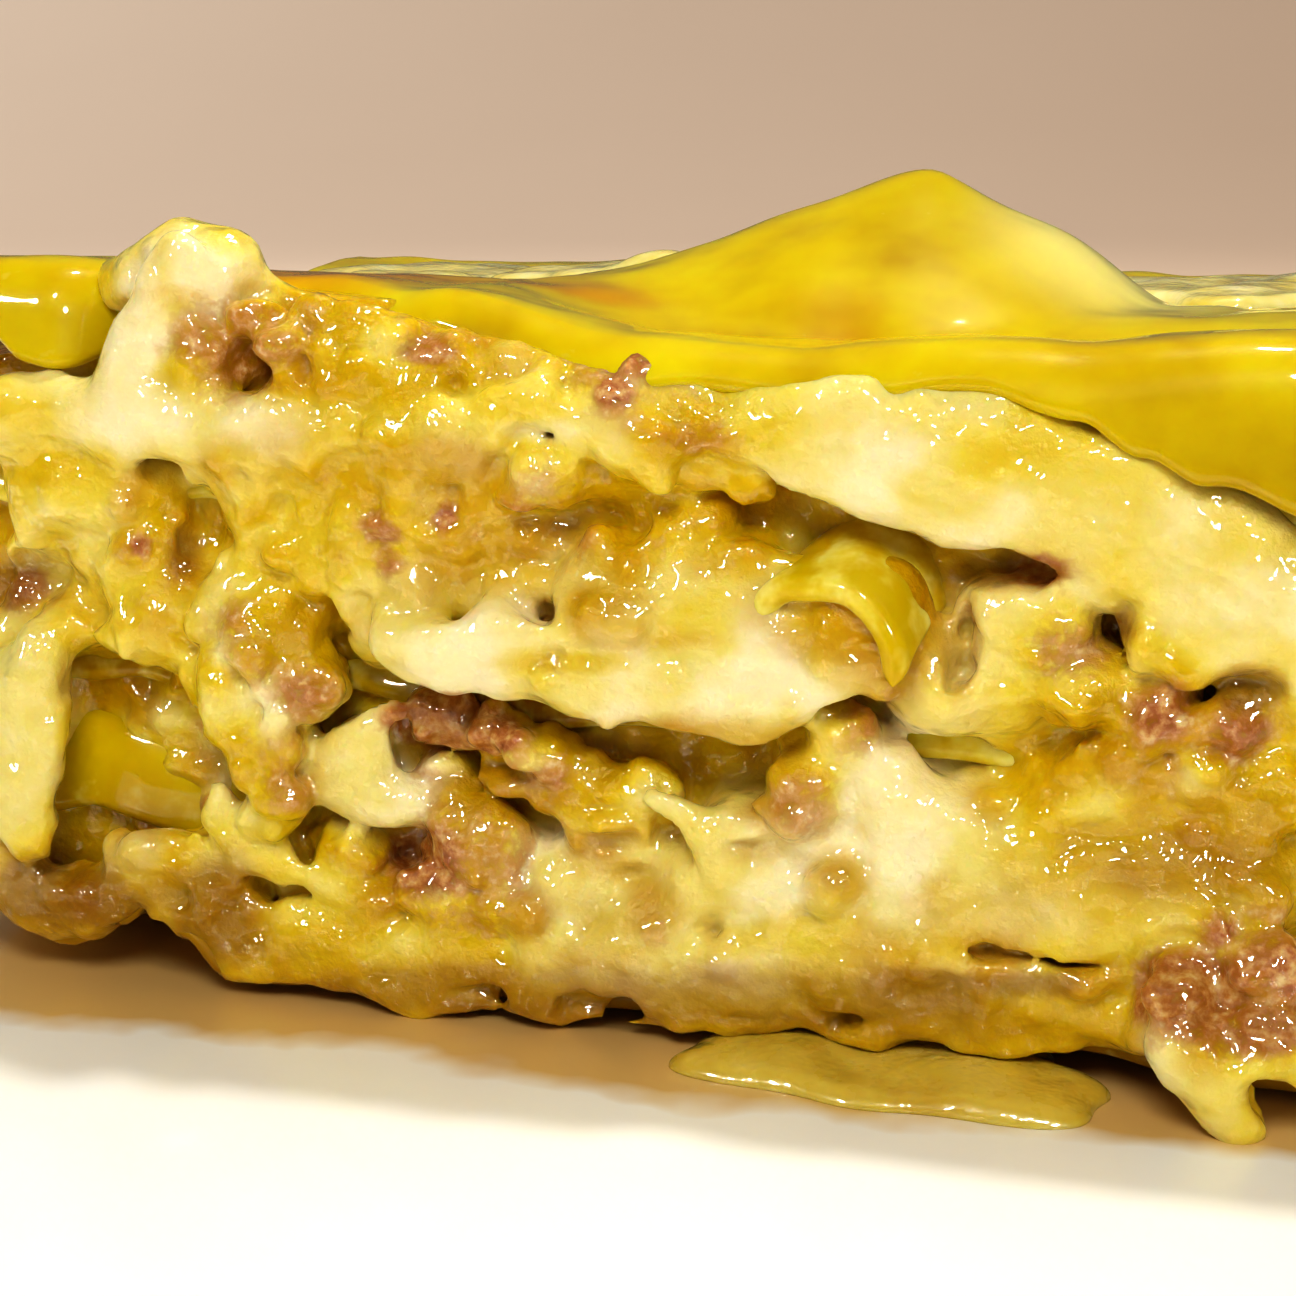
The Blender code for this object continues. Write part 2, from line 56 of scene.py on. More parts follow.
# Middle surface of each sheet, close to the CAD's: inner level, level along the front
# as (x, z) stops, depth of the fade between them, length of the hanging front edge as
# (x, length) stops, and how far in front of the cut face it bends, as (x, mm) stops.
SHEETS = {
    1: {"level": 1.1, "fade": 13,
        "front": ((-48, 5.4), (-42.3, 5.8), (-38.2, 2.4), (-34.5, 4.4), (-31.6, 6.8),
                  (-29, 4.4), (-26, 1.6), (-20, 1.3), (0, 1.5), (12, 1.8), (25, 2.4),
                  (36, 1.2), (48, 1.1)),
        "lip": ((-48, 1.6), (-43, 1.8), (-36, 1), (-30, 2), (-25, 2), (-15, 0.6), (48, 0.6)),
        "out": ((-48, 0.5), (-27, 0.5), (-20, -0.8), (20, -0.4), (48, 0.5))},
    2: {"level": 11, "fade": 30,
        "front": ((-48, 17), (-38, 17.2), (-28, 16), (-18, 13.5), (10, 12), (25, 9.5), (48, 8.5)),
        "lip": ((-48, 5.6), (-28, 5.2), (-20, 1.2), (10, 0.8), (30, 1.4), (48, 2)),
        "out": ((-48, -2), (-28, -2.2), (-18, -2.6), (20, -2), (32, -0.6), (48, 0.5))},
    3: {"level": 21, "fade": 30,
        "front": ((-48, 21.4), (-30, 21.2), (-16, 21.4), (12, 21.3), (25, 20), (38, 18.6),
                  (48, 18)),
        "lip": ((-48, 1.4), (-20, 1), (-14, 1.6), (8, 1.6), (18, 1.6), (30, 2), (48, 4)),
        "out": ((-48, -2), (-24, -1.6), (-12, -0.8), (4, -0.8), (14, -1.2), (26, -1), (48, 0.5))},
    4: {"level": 32.5, "fade": 30,
        "front": ((-48, 33), (-10, 33), (4, 35.5), (12, 36.8), (24, 36.6), (48, 35.5)),
        "lip": ((-48, 1), (2, 1), (10, 1.6), (23, 4), (33, 7), (48, 10)),
        "out": ((-48, 0.5), (0, -0.6), (24, 0.2), (36, 0.8), (48, 1))},
    5: {"level": 40.2, "fade": 48,
        "front": ((-48, 44.4), (-40, 44.6), (-28, 43.8), (-13, 43.1), (0, 41), (10, 40.6),
                  (20, 41.2), (36, 42), (48, 41.4)),
        "lip": ((-48, 0.8), (-42, 0.8), (-40.4, 2.4), (-38, 3.8), (-35.5, 4.2), (-32, 2),
                (-26, 0.9), (-10, 0.8), (2, 0.8), (12, 0.6), (20, 0.5), (25, 2), (28.5, 4),
                (32, 5.6), (38, 7.6), (48, 9)),
        "out": ((-48, 2.5), (-37, 2), (-31, -2.5), (-20, -2.5), (-12, 0.5), (0, 2.5),
                (48, 2.5))},
}
# The share of browning and of sauce over each sheet.
SHEET_BROWN = {1: 0.3, 2: 0.1, 3: 0.2, 4: 0.1, 5: 0.0}
SHEET_SAUCE = {1: 0.1, 2: 0.2, 3: 0.3, 4: 0.6, 5: 0.0}
# The fold of the top sheet: its tip, its half widths and its height over the sheet.
FOLD_CENTRE = (10.6, -3.0)
FOLD_LEFT, FOLD_RIGHT, FOLD_DEEP = 23.0, 15.0, 17.0
FOLD_HEIGHT = 9.3
# The most triangles that the fused fillings may have.
TRIANGLE_LIMIT = 190000
# How far behind the cut face the bare block of filling starts, and the level that it
# has where the top sheet hides it.
CORE_BACK = 1.0
HIDDEN_TOP = 37.2
# Metres: how far the brown film of fat and painted shade reaches round the slice, and the
# backdrop's bend.
FAT_AND_SHADE_REACH = 0.010
SWEEP_START, SWEEP_RADIUS = 0.7, 0.9
# How strongly the backdrop glows by its own emission, which is painted light.
BACKDROP_GLOW = 0.52
LIGHT_AIM = Vector((0, -0.02, 0.03))

# What the cut face shows, placed by the photograph: (pixel x, pixel y, half width,
# half height, stand-out in mm). Sizes are in pixels, and the stand-out counts from
# the plane of the cut face to the front of the shape.
MEAT = (
    (200, 338, 28, 22, 3.2), (245, 326, 30, 18, 3.2), (284, 350, 26, 26, 3.5),
    (286, 386, 28, 22, 3.5), (250, 405, 32, 17, 3.6), (204, 394, 24, 20, 3.6),
    (184, 362, 16, 26, 3.4), (232, 362, 30, 28, 1.4), (316, 322, 30, 18, 3.0),
    (356, 326, 26, 16, 2.8), (392, 340, 28, 18, 2.8), (326, 350, 30, 26, 3.0),
    (345, 385, 28, 24, 3.2), (430, 358, 38, 18, 2.8), (372, 374, 26, 22, 3.4),
    (482, 378, 34, 16, 2.8), (545, 378, 40, 16, 2.6), (600, 388, 34, 15, 2.8),
    (640, 378, 34, 15, 2.6), (690, 402, 30, 16, 2.6), (540, 482, 30, 24, 3.8),
    (702, 466, 40, 20, 2.4), (742, 486, 26, 20, 2.4), (690, 520, 34, 24, 2.0),
    (740, 566, 22, 20, 2.2), (612, 560, 30, 18, 2.4), (136, 545, 20, 18, 2.6),
    (250, 640, 58, 46, 4.2), (222, 690, 44, 44, 4.1), (290, 690, 44, 38, 3.8),
    (258, 750, 42, 44, 3.8), (270, 800, 26, 26, 3.6), (20, 600, 34, 22, -1.2),
    (435, 716, 34, 20, 1.4), (490, 735, 34, 20, 2.0), (530, 762, 40, 24, 2.2),
    (500, 776, 34, 22, 2.0), (445, 800, 36, 34, 0.8), (560, 796, 28, 22, 1.4),
    (640, 795, 34, 22, 2.0), (585, 785, 26, 22, 1.4), (600, 830, 30, 14, 2.2),
    (470, 860, 50, 44, 3.0), (436, 905, 44, 38, 2.8), (500, 915, 40, 30, 3.0),
    (340, 860, 42, 30, 2.0), (370, 905, 44, 34, 2.2), (420, 935, 40, 22, 2.0),
    (798, 786, 28, 24, 3.1), (804, 812, 30, 20, 3.0), (838, 730, 28, 24, 2.6),
    (1010, 610, 40, 22, 1.6), (1050, 640, 44, 40, 2.6), (1085, 690, 48, 42, 2.8),
    (1085, 600, 30, 18, 0.6), (1040, 575, 30, 14, 0.2), (1150, 720, 50, 44, 2.8),
    (1205, 775, 44, 40, 2.6), (1150, 650, 28, 26, 2.6), (1190, 660, 30, 22, 2.8),
    (1170, 700, 24, 26, 1.2), (1232, 730, 32, 28, 2.2), (1262, 805, 38, 36, 2.6),
    (1110, 770, 44, 36, 2.4), (1275, 740, 26, 16, 0.6), (838, 878, 15, 15, 2.8),
    (1180, 1005, 38, 36, 5.4), (1205, 1058, 40, 34, 6.4), (1272, 1045, 36, 28, 6.4),
    (1275, 980, 40, 32, 5.4), (1160, 945, 26, 16, 2.6), (1245, 1000, 24, 20, 4.4),
)
COAT = (
    (330, 440, 66, 44, 3.4), (262, 500, 70, 60, 3.0), (500, 530, 60, 40, 2.2),
    (230, 460, 60, 40, 3.4), (380, 560, 60, 40, 2.4), (210, 600, 50, 40, 2.4),
    (700, 560, 60, 36, 2.2), (110, 500, 60, 40, 2.6), (400, 620, 50, 34, 2.8),
    (350, 500, 76, 56, 3.2), (430, 505, 80, 56, 3.4), (400, 430, 36, 34, 3.8),
    (412, 385, 26, 26, 3.9), (560, 462, 86, 44, 3.2), (650, 470, 70, 40, 2.6),
    (640, 420, 60, 24, 2.8), (706, 430, 56, 28, 2.4), (470, 560, 80, 26, 1.2),
    (640, 570, 70, 26, 1.8), (470, 590, 60, 24, 1.8), (140, 600, 52, 40, 2.6),
    (160, 645, 46, 34, 2.4), (300, 590, 60, 50, 2.2), (610, 616, 40, 20, 4.4),
    (1150, 850, 130, 50, 2.4), (1060, 820, 80, 46, 2.0), (1240, 870, 80, 50, 2.6),
    (1120, 800, 90, 40, 2.2), (60, 620, 30, 26, 1.0), (750, 650, 44, 36, 2.4),
    (640, 650, 60, 22, 3.0), (820, 770, 44, 40, 2.2), (1240, 930, 50, 30, 3.0),
    (270, 850, 50, 30, 1.2), (960, 950, 70, 36, 2.6), (1060, 950, 60, 36, 2.6),
    (1000, 998, 100, 26, 2.5), (1110, 990, 50, 30, 2.5), (340, 930, 60, 34, 2.0),
    (860, 980, 70, 26, 2.6), (1148, 1046, 26, 20, 4.8),
)
CREAM = (
    (176, 262, 64, 36, 2.4), (214, 284, 40, 26, 2.2), (120, 288, 40, 26, 1.8),
    (60, 440, 66, 50, 3.0), (28, 486, 46, 42, 2.8), (90, 486, 56, 40, 2.8),
    (20, 550, 30, 24, 1.6), (-10, 700, 44, 90, 3.2), (362, 640, 30, 34, 2.4),
    (700, 620, 60, 24, 3.0), (1000, 480, 70, 50, 2.4), (870, 440, 80, 44, 2.4),
    (790, 420, 44, 30, 2.6), (1240, 1110, 26, 38, 7.0), (300, 430, 40, 18, 3.6),
    (780, 590, 30, 26, 2.8), (960, 690, 70, 50, 2.4), (1000, 880, 80, 44, 2.6),
    (900, 900, 60, 40, 2.8), (1080, 905, 80, 30, 2.4), (1180, 905, 60, 24, 2.8),
    (985, 625, 34, 26, 2.4), (110, 560, 50, 40, 3.0), (236, 600, 44, 28, 3.2),
    (62, 510, 64, 40, 3.2), (126, 640, 40, 30, 2.6), (330, 560, 40, 30, 3.0),
    (480, 610, 60, 20, 2.8), (590, 590, 50, 26, 3.2), (1010, 600, 46, 26, 3.0),
    (960, 700, 80, 44, 3.0),
)
YOLKY = (
    (862, 612, 58, 50, 4.0), (876, 668, 42, 32, 3.8), (846, 590, 34, 32, 3.6),
    (612, 616, 26, 14, 4.8), (828, 640, 26, 22, 4.3),
)
WHITE = (
    (384, 806, 40, 22, 2.2), (345, 766, 30, 34, 1.8), (560, 890, 56, 46, 2.6),
    (640, 930, 60, 34, 2.8), (700, 896, 70, 62, 3.0), (782, 905, 60, 56, 3.0),
    (880, 800, 44, 44, 2.8), (930, 830, 56, 42, 3.0), (745, 830, 50, 24, 2.8),
    (820, 850, 40, 40, 2.6), (620, 855, 40, 26, 2.2), (130, 405, 34, 34, 4.4),
    (188, 300, 24, 20, 3.3), (756, 664, 34, 24, 4.3),
)
# Long shapes: kind, stand-out, how much flatter than round, and (pixel x, pixel y,
# radius in pixels) stops from end to end.
STRANDS = (
    ("white", 4.0, 1.7, ((170, 256, 22), (150, 300, 12), (140, 335, 18), (128, 378, 32),
        (112, 408, 40))),
    ("white", 4.3, 1.6, ((112, 412, 34), (165, 430, 26), (215, 432, 20), (262, 425, 15))),
    ("cream", 4.0, 1.2, ((110, 410, 26), (60, 412, 22), (10, 405, 26), (-40, 420, 30))),
    ("cream", 4.2, 1.4, ((380, 470, 14), (440, 445, 15), (490, 420, 15), (540, 411, 15),
        (585, 424, 14), (618, 452, 13), (650, 476, 11))),
    ("white", 4.6, 1.7, ((396, 654, 18), (440, 660, 26), (500, 668, 32), (560, 678, 34),
        (620, 690, 32), (680, 702, 30))),
    ("white", 4.4, 1.7, ((680, 700, 30), (730, 708, 30), (780, 704, 26), (836, 688, 16))),
    ("cream", 5.0, 1.6, ((384, 640, 11), (440, 645, 12), (500, 636, 10), (540, 632, 8))),
    ("cream", 3.6, 2.2, ((600, 600, 22), (660, 606, 30), (720, 626, 34), (790, 660, 26))),
    ("cream", 4.2, 1.3, ((30, 650, 26), (26, 700, 32), (16, 750, 34), (10, 800, 26),
        (22, 838, 17), (26, 852, 15))),
    ("white", 2.3, 2.0, ((388, 712, 14), (352, 744, 22), (338, 784, 26), (384, 806, 22))),
    ("cream", 2.8, 1.4, ((214, 792, 11), (222, 830, 17), (258, 862, 18), (306, 884, 14))),
    ("cream", 2.2, 1.6, ((320, 935, 14), (390, 962, 15), (470, 968, 12))),
    ("cream", 3.4, 1.9, ((760, 430, 40), (850, 440, 52), (940, 452, 60), (1020, 474, 66),
        (1090, 508, 70), (1160, 552, 74), (1240, 604, 84), (1330, 660, 94))),
    ("white", 3.4, 2.2, ((800, 474, 20), (870, 484, 26), (940, 505, 28), (985, 520, 22))),
    ("white", 3.0, 1.6, ((540, 950, 17), (640, 965, 15), (760, 962, 16), (860, 950, 18))),
    ("yolk", 3.2, 1.6, ((800, 962, 12), (880, 962, 16), (960, 940, 20), (1040, 920, 18))),
    ("cream", 2.6, 1.6, ((900, 860, 16), (1000, 868, 14), (1100, 880, 13), (1180, 892, 12))),
    ("cream", 3.0, 1.6, ((860, 930, 26), (950, 922, 30), (1040, 918, 28), (1130, 916, 22))),
    ("coat", 2.6, 1.7, ((300, 950, 22), (440, 962, 26), (540, 970, 24), (640, 980, 24),
        (740, 984, 24), (850, 980, 28), (960, 976, 26), (1060, 970, 24), (1140, 966, 20))),
    ("coat", 2.4, 1.5, ((-30, 846, 24), (6, 880, 25), (40, 908, 28), (78, 908, 30),
        (114, 884, 24), (148, 866, 20), (180, 878, 26), (206, 914, 34), (232, 956, 18))),
    ("coat", 2.4, 1.5, ((230, 966, 11), (400, 986, 14), (560, 998, 14), (700, 1008, 15),
        (850, 1020, 16), (1000, 1032, 17), (1140, 1040, 16))),
    ("white", 3.2, 1.4, ((650, 800, 10), (700, 830, 12), (720, 870, 14))),
    ("cream", 6.6, 1.1, ((1150, 1000, 12), (1178, 1050, 14), (1210, 1085, 16), (1238, 1132, 13))),
    ("cream", 6.8, 1.1, ((1180, 1068, 18), (1230, 1080, 20), (1290, 1085, 18))),
)
HOLES = (
    (184, 550, 18, 30, 3.4), (14, 585, 44, 24, 4.0), (478, 780, 50, 9, 3.8),
    (236, 370, 12, 11, 3.2), (655, 742, 74, 11, 3.3), (1122, 626, 14, 18, 3.8),
    (1246, 692, 34, 18, 3.8), (650, 892, 16, 20, 4.8), (606, 852, 26, 7, 3.8),
    (742, 852, 24, 5, 4.0), (52, 880, 44, 18, 5.0), (165, 905, 22, 26, 5.0),
    (470, 999, 26, 7, 3.6), (600, 1016, 34, 8, 3.6), (742, 1021, 30, 6, 3.6),
    (842, 1024, 24, 6, 3.6), (1055, 962, 70, 6, 3.4), (110, 690, 54, 26, 3.4),
    (268, 292, 10, 22, 3.8), (300, 366, 8, 18, 3.8), (380, 780, 16, 14, 3.8),
    (384, 860, 30, 12, 3.6), (1010, 570, 50, 14, 2.8), (960, 640, 14, 40, 3.2),
    (330, 620, 10, 30, 2.8), (1140, 990, 14, 20, 5.0), (1268, 1104, 22, 22, 7.0),
    (555, 655, 12, 5, 5.4), (884, 578, 24, 7, 5.0),
)
# Melted cheese on the top sheet: centre, radii and height.
CHEESE_PATCHES = (((-15, 9), (8, 11), 1.6), ((31, 17), (11, 11), 1.5),
                  ((-33, 14), (9, 11), 1.5))
# The same of the sauce on the plate.
POOL = ((16.2, -37.6), (12.2, 6.2), 1.3)
# The scrap of pasta that arches over a lump of sauce.
CURL_CENTRE = (12.6, -36.0, 26.0)
CURL_RADIUS, CURL_TURN = 4.1, np.radians(206)
# The top left corner is open under the top sheet: centre and radii in mm.
NOTCH = (np.array([-47.5, -34.0, 40.7]), np.array([8.2, 11.0, 1.9]))

# Colour patches and painted shade that lie in the sauce alone: (pixel x, pixel y, half
# width, half height, channel of the mix, value that it is drawn to). The rows on the
# fourth channel paint shade into pockets and holes, under the white slab, in the hollows
# low on the left and along the base.
MEATY, PALE, YOLK, PAINTED_SHADE = range(4)
STAINS_AND_SHADE = (
    (232, 362, 34, 30, PAINTED_SHADE, 0.0), (655, 742, 100, 24, YOLK, 1.0), (570, 548, 56, 26, PAINTED_SHADE, 0.35),
    (440, 592, 56, 22, PAINTED_SHADE, 0.3), (690, 448, 56, 26, PAINTED_SHADE, 0.25), (478, 780, 60, 14, PAINTED_SHADE, 0.6),
    (435, 716, 40, 22, MEATY, 1.0), (490, 735, 40, 18, MEATY, 1.0),
    (184, 550, 20, 32, PAINTED_SHADE, 0.75), (14, 585, 50, 28, PAINTED_SHADE, 0.75), (1122, 626, 16, 20, PAINTED_SHADE, 0.8),
    (1246, 692, 36, 22, PAINTED_SHADE, 0.75), (650, 895, 16, 22, PAINTED_SHADE, 0.5), (650, 905, 26, 34, YOLK, 0.8),
    (838, 878, 18, 18, PAINTED_SHADE, 0.45), (800, 806, 30, 30, MEATY, 0.6), (606, 852, 30, 9, PAINTED_SHADE, 0.25),
    (742, 854, 26, 7, PAINTED_SHADE, 0.2), (1190, 985, 50, 40, MEATY, 0.8),
    (1270, 1030, 40, 24, MEATY, 0.8), (345, 770, 50, 50, PALE, 0.84),
    (440, 722, 60, 26, MEATY, 1.0), (440, 722, 54, 24, PAINTED_SHADE, 0.45),
    (500, 800, 70, 22, PAINTED_SHADE, 0.45), (20, 740, 50, 110, PALE, 0.82),
    (1010, 600, 60, 26, PALE, 0.85), (1070, 650, 40, 50, PALE, 0.62),
    (400, 992, 130, 16, PAINTED_SHADE, 0.5), (640, 1010, 160, 18, PAINTED_SHADE, 0.5),
    (900, 1030, 200, 20, PAINTED_SHADE, 0.42), (70, 900, 110, 44, PAINTED_SHADE, 0.75),
    (215, 915, 54, 60, PAINTED_SHADE, 0.7), (1190, 870, 130, 46, PAINTED_SHADE, 0.5), (780, 600, 40, 40, YOLK, 0.7),
    (130, 600, 60, 50, PALE, 0.6), (420, 470, 80, 30, YOLK, 0.9), (700, 940, 140, 20, PALE, 0.78),
    (640, 900, 60, 44, PALE, 0.8), (720, 870, 40, 26, PALE, 0.84), (900, 800, 60, 40, PALE, 0.95),
    (1060, 905, 160, 26, YOLK, 0.5), (640, 640, 60, 14, YOLK, 0.8),
    (566, 662, 60, 14, PALE, 0.62), (566, 662, 60, 12, YOLK, 0.5), (700, 880, 30, 60, PALE, 0.8),
    (560, 880, 30, 30, PALE, 0.8), (620, 870, 40, 12, YOLK, 0.6), (780, 940, 60, 16, YOLK, 0.6),
    (590, 955, 60, 12, YOLK, 0.6), (760, 850, 26, 10, YOLK, 0.5),
    (1195, 1000, 60, 50, MEATY, 0.85), (1195, 1000, 50, 40, PAINTED_SHADE, 0.35),
    (1275, 1020, 40, 30, PAINTED_SHADE, 0.4), (430, 862, 40, 30, MEATY, 0.9),
    (1160, 716, 40, 34, MEATY, 0.8), (1072, 652, 44, 30, MEATY, 0.6),
    (1236, 735, 40, 30, MEATY, 0.75), (240, 345, 66, 46, MEATY, 0.62),
    (430, 350, 34, 16, MEATY, 0.7), (700, 440, 40, 20, MEATY, 0.5),
    (140, 545, 14, 12, MEATY, 0.8), (290, 790, 30, 26, MEATY, 0.55),
    (1010, 570, 60, 18, PAINTED_SHADE, 0.6), (1040, 572, 30, 14, MEATY, 1.0),
    (400, 870, 60, 40, PAINTED_SHADE, 0.2), (110, 690, 60, 30, PAINTED_SHADE, 0.3), (60, 470, 60, 24, PALE, 0.5),
    (860, 962, 90, 14, PAINTED_SHADE, 0.2), (160, 300, 46, 12, YOLK, 0.7), (760, 750, 60, 30, YOLK, 0.7),
    (960, 650, 20, 50, PAINTED_SHADE, 0.45), (540, 430, 50, 12, PALE, 0.9), (540, 482, 26, 24, MEATY, 0.5),
    (1150, 860, 120, 40, YOLK, 0.9), (300, 470, 60, 60, YOLK, 0.5), (600, 930, 26, 24, YOLK, 0.4),
    (840, 940, 60, 30, YOLK, 0.8), (560, 1004, 170, 22, PAINTED_SHADE, 0.7),
    (470, 980, 150, 20, PAINTED_SHADE, 0.6), (840, 1008, 160, 22, PAINTED_SHADE, 0.7),
    (720, 990, 190, 26, PAINTED_SHADE, 0.6), (980, 985, 120, 16, PAINTED_SHADE, 0.7), (660, 420, 50, 30, YOLK, 0.8),
    (380, 520, 60, 40, YOLK, 0.8), (140, 350, 26, 60, PALE, 1.0), (140, 350, 26, 60, YOLK, 0.0),
    (1270, 600, 70, 40, PALE, 0.92), (1270, 600, 70, 40, YOLK, 0.0),
    (650, 905, 34, 40, PAINTED_SHADE, 0.25), (590, 900, 50, 16, PAINTED_SHADE, 0.15),
)

# Stains and painted shade on the sheets: sheet, (x, y, z) in mm, radii in mm, channel,
# value. The channels of the pasta's mix are sauce, browning, paleness and a painted deep
# olive shade, which lies under overhangs and on the lower sheets.
SAUCE, BROWN, FADED, OLIVE_SHADE = range(4)
SHEET_STAINS_AND_SHADE = (
    (5, (-24, -24, 43.5), (7, 8, 6), BROWN, 0.8), (5, (-17, -10, 42), (6, 8, 6), BROWN, 0.4),
    (5, (24, -2, 46), (9, 13, 7), FADED, 1.0), (5, (-36, -38, 40), (8, 6, 4), OLIVE_SHADE, 0.12),
    (5, (34, -39, 34), (14, 6, 4), OLIVE_SHADE, 0.25), (5, (12, -8, 47), (5, 8, 4), OLIVE_SHADE, 0.16),
    (3, (16, -38, 21), (13, 8, 8), SAUCE, 0.45), (3, (10, -38, 17), (9, 8, 5), SAUCE, 0.9),
    (3, (-4, -37, 18.5), (13, 8, 5), OLIVE_SHADE, 0.85), (3, (-36, -34, 18), (14, 9, 7), OLIVE_SHADE, 0.4),
    (2, (-36, -36, 15), (16, 9, 7), OLIVE_SHADE, 0.08),
    (2, (-36, -38, 10), (16, 9, 3), OLIVE_SHADE, 0.3), (1, (-38, -36, 4), (16, 12, 8), OLIVE_SHADE, 0.5),
    (1, (-10, -36, 1), (24, 12, 4), OLIVE_SHADE, 0.85), (1, (24, -36, 2), (24, 12, 4), OLIVE_SHADE, 0.7),
    (2, (26, -36, 9), (20, 9, 5), OLIVE_SHADE, 0.3),
)


def ease(t):
    """0 to 1 with level ends: 3t^2 - 2t^3."""
    return t * t * (3 - 2 * t)


def along(x, stops):
    """Value at x of (x, value) stops, eased between neighbours."""
    places = np.array([stop[0] for stop in stops], float)
    values = np.array([stop[1] for stop in stops], float)
    x = np.clip(x, places[0], places[-1])
    at = np.clip(np.searchsorted(places, x, side="right") - 1, 0, len(places) - 2)
    t = ease((x - places[at]) / (places[at + 1] - places[at]))
    return values[at] + (values[at + 1] - values[at]) * t


def fold_height(x, y):
    """The tent of the top sheet: its height times (1 - r) to a power, with tip and foot
    rounded. r is measured in half widths that are longer to the left than to the right.
    A low bell on its right flank is the shoulder."""
    tip, foot, power, lowered = 0.005, 0.008, 1.08, 0.04
    aside = x - FOLD_CENTRE[0]
    aside = aside / np.where(aside < 0, FOLD_LEFT, FOLD_RIGHT)
    away = np.sqrt(aside**2 + ((y - FOLD_CENTRE[1]) / FOLD_DEEP) ** 2 + tip) - lowered
    fall = (1 - away + np.sqrt((1 - away) ** 2 + foot)) / 2
    shoulder = 1.3 * np.exp(-(((x - 20.5) / 4.2) ** 2) - ((y + 3) / 9) ** 2)
    return FOLD_HEIGHT * fall**power + shoulder


def valley_depth(x, y):
    """The dip between the front roll of the top sheet and its fold: a bell across Y that
    fades in along X."""
    deepest, middle, half_width = 1.7, -23, 4.6
    ends = np.clip((x + 14) / 16, 0, 1) * np.clip((44 - x) / 14, 0, 1)
    return deepest * ends * np.exp(-(((y - middle) / half_width) ** 2))


def sheet_height(number, x, y):
    """Middle surface of a sheet: its front level fading into its inner level over a
    depth, plus a low wave along X and Y, plus the fold on the top sheet."""
    sheet = SHEETS[number]
    fade = ease(np.clip((y + HALF_Y) / sheet["fade"], 0, 1))
    front = along(x, sheet["front"])
    height = front + (sheet["level"] - front) * fade
    if number > 1:
        wave = np.sin(x / 9.5 + 1.7 * number) + np.cos(y / 8 - number)
        height = height + 0.45 * fade * wave
    if number == 5:
        height = height + fold_height(x, y) - valley_depth(x, y)
    return height


def noise_table(seed):
    """The random values at a noise's lattice points, which repeat after 32."""
    return np.random.default_rng(seed).uniform(-1, 1, (32, 32, 32))


def noise_at(points, scale, seed):
    """Value noise from -1 to 1: random values on a lattice of the given pitch, eased
    between the eight nearest."""
    cell = np.asarray(points, float) / scale
    base = np.floor(cell).astype(int)
    t = ease(cell - base)
    table = noise_table(seed)
    total = 0
    for corner in np.ndindex(2, 2, 2):
        weight = np.prod(np.where(corner, t, 1 - t), axis=-1)
        place = (base + corner) % 32
        total = total + weight * table[place[..., 0], place[..., 1], place[..., 2]]
    return total


def noise_grid(axes, scale, seed):
    """The same noise on a grid, one axis at a time: each axis has a matrix of the two
    eased weights of every line, and the three matrices are multiplied in turn."""
    values = noise_table(seed).astype(np.float32)
    for axis in axes:
        cell = axis / scale
        base = np.floor(cell).astype(int)
        t = ease(cell - base)
        weights = np.zeros((len(axis), 32), np.float32)
        rows = np.arange(len(axis))
        weights[rows, base % 32] += 1 - t
        weights[rows, (base + 1) % 32] += t
        values = np.tensordot(values, weights, axes=(0, 1))
    return values


def camera_axes():
    """Unit vectors forward, right and up of the photograph's camera."""
    forward = np.array([-np.sin(AZIMUTH) * np.cos(PITCH), np.cos(AZIMUTH) * np.cos(PITCH),
                        -np.sin(PITCH)])
    right = np.array([np.cos(AZIMUTH), np.sin(AZIMUTH), 0])
    return forward, right, np.cross(right, forward)


def photo_point(px, py, y):
    """The point of the plane at depth y that the photograph shows at a pixel, and the
    length in mm of a pixel there."""
    forward, right, up = camera_axes()
    middle = PHOTO_SIZE / 2
    ray = forward + right * (px - middle) / PHOTO_FOCAL - up * (py - middle) / PHOTO_FOCAL
    reach = (y - CAMERA[1]) / ray[1]
    point = CAMERA + ray * reach
    point[2] -= WELL_TOP
    return point, reach / PHOTO_FOCAL


def to_photo(points):
    """The pixels at which the photograph shows points, in mm above the well."""
    forward, right, up = camera_axes()
    ray = points + [0, 0, WELL_TOP] - CAMERA
    depth = ray @ forward
    middle = PHOTO_SIZE / 2
    return middle + PHOTO_FOCAL * (ray @ right) / depth, middle - PHOTO_FOCAL * (ray @ up) / depth


def balls(rows):
    """Each (pixel x, pixel y, half width, half height, stand-out) row as the centre and
    radii of an ellipsoid, as deep as the mean of its other two radii."""
    shapes = []
    for px, py, wide, tall, out in rows:
        point, scale = photo_point(px, py, -HALF_Y - out)
        wide, tall = wide * scale, tall * scale
        deep = (wide + tall) / 2
        shapes.append((point + [0, deep, 0], np.array([wide, deep, tall])))
    return shapes


def rods(kind):
    """The strands of a kind as straight stretches: both ends, both radii, flatness."""
    shapes = []
    for name, out, flat, stops in STRANDS:
        if name != kind:
            continue
        ends = []
        for px, py, radius in stops:
            point, scale = photo_point(px, py, -HALF_Y - out)
            ends.append((point + [0, radius * scale / flat, 0], radius * scale))
        shapes += [(a, b, ra, rb, flat) for (a, ra), (b, rb) in zip(ends[:-1], ends[1:])]
    return shapes


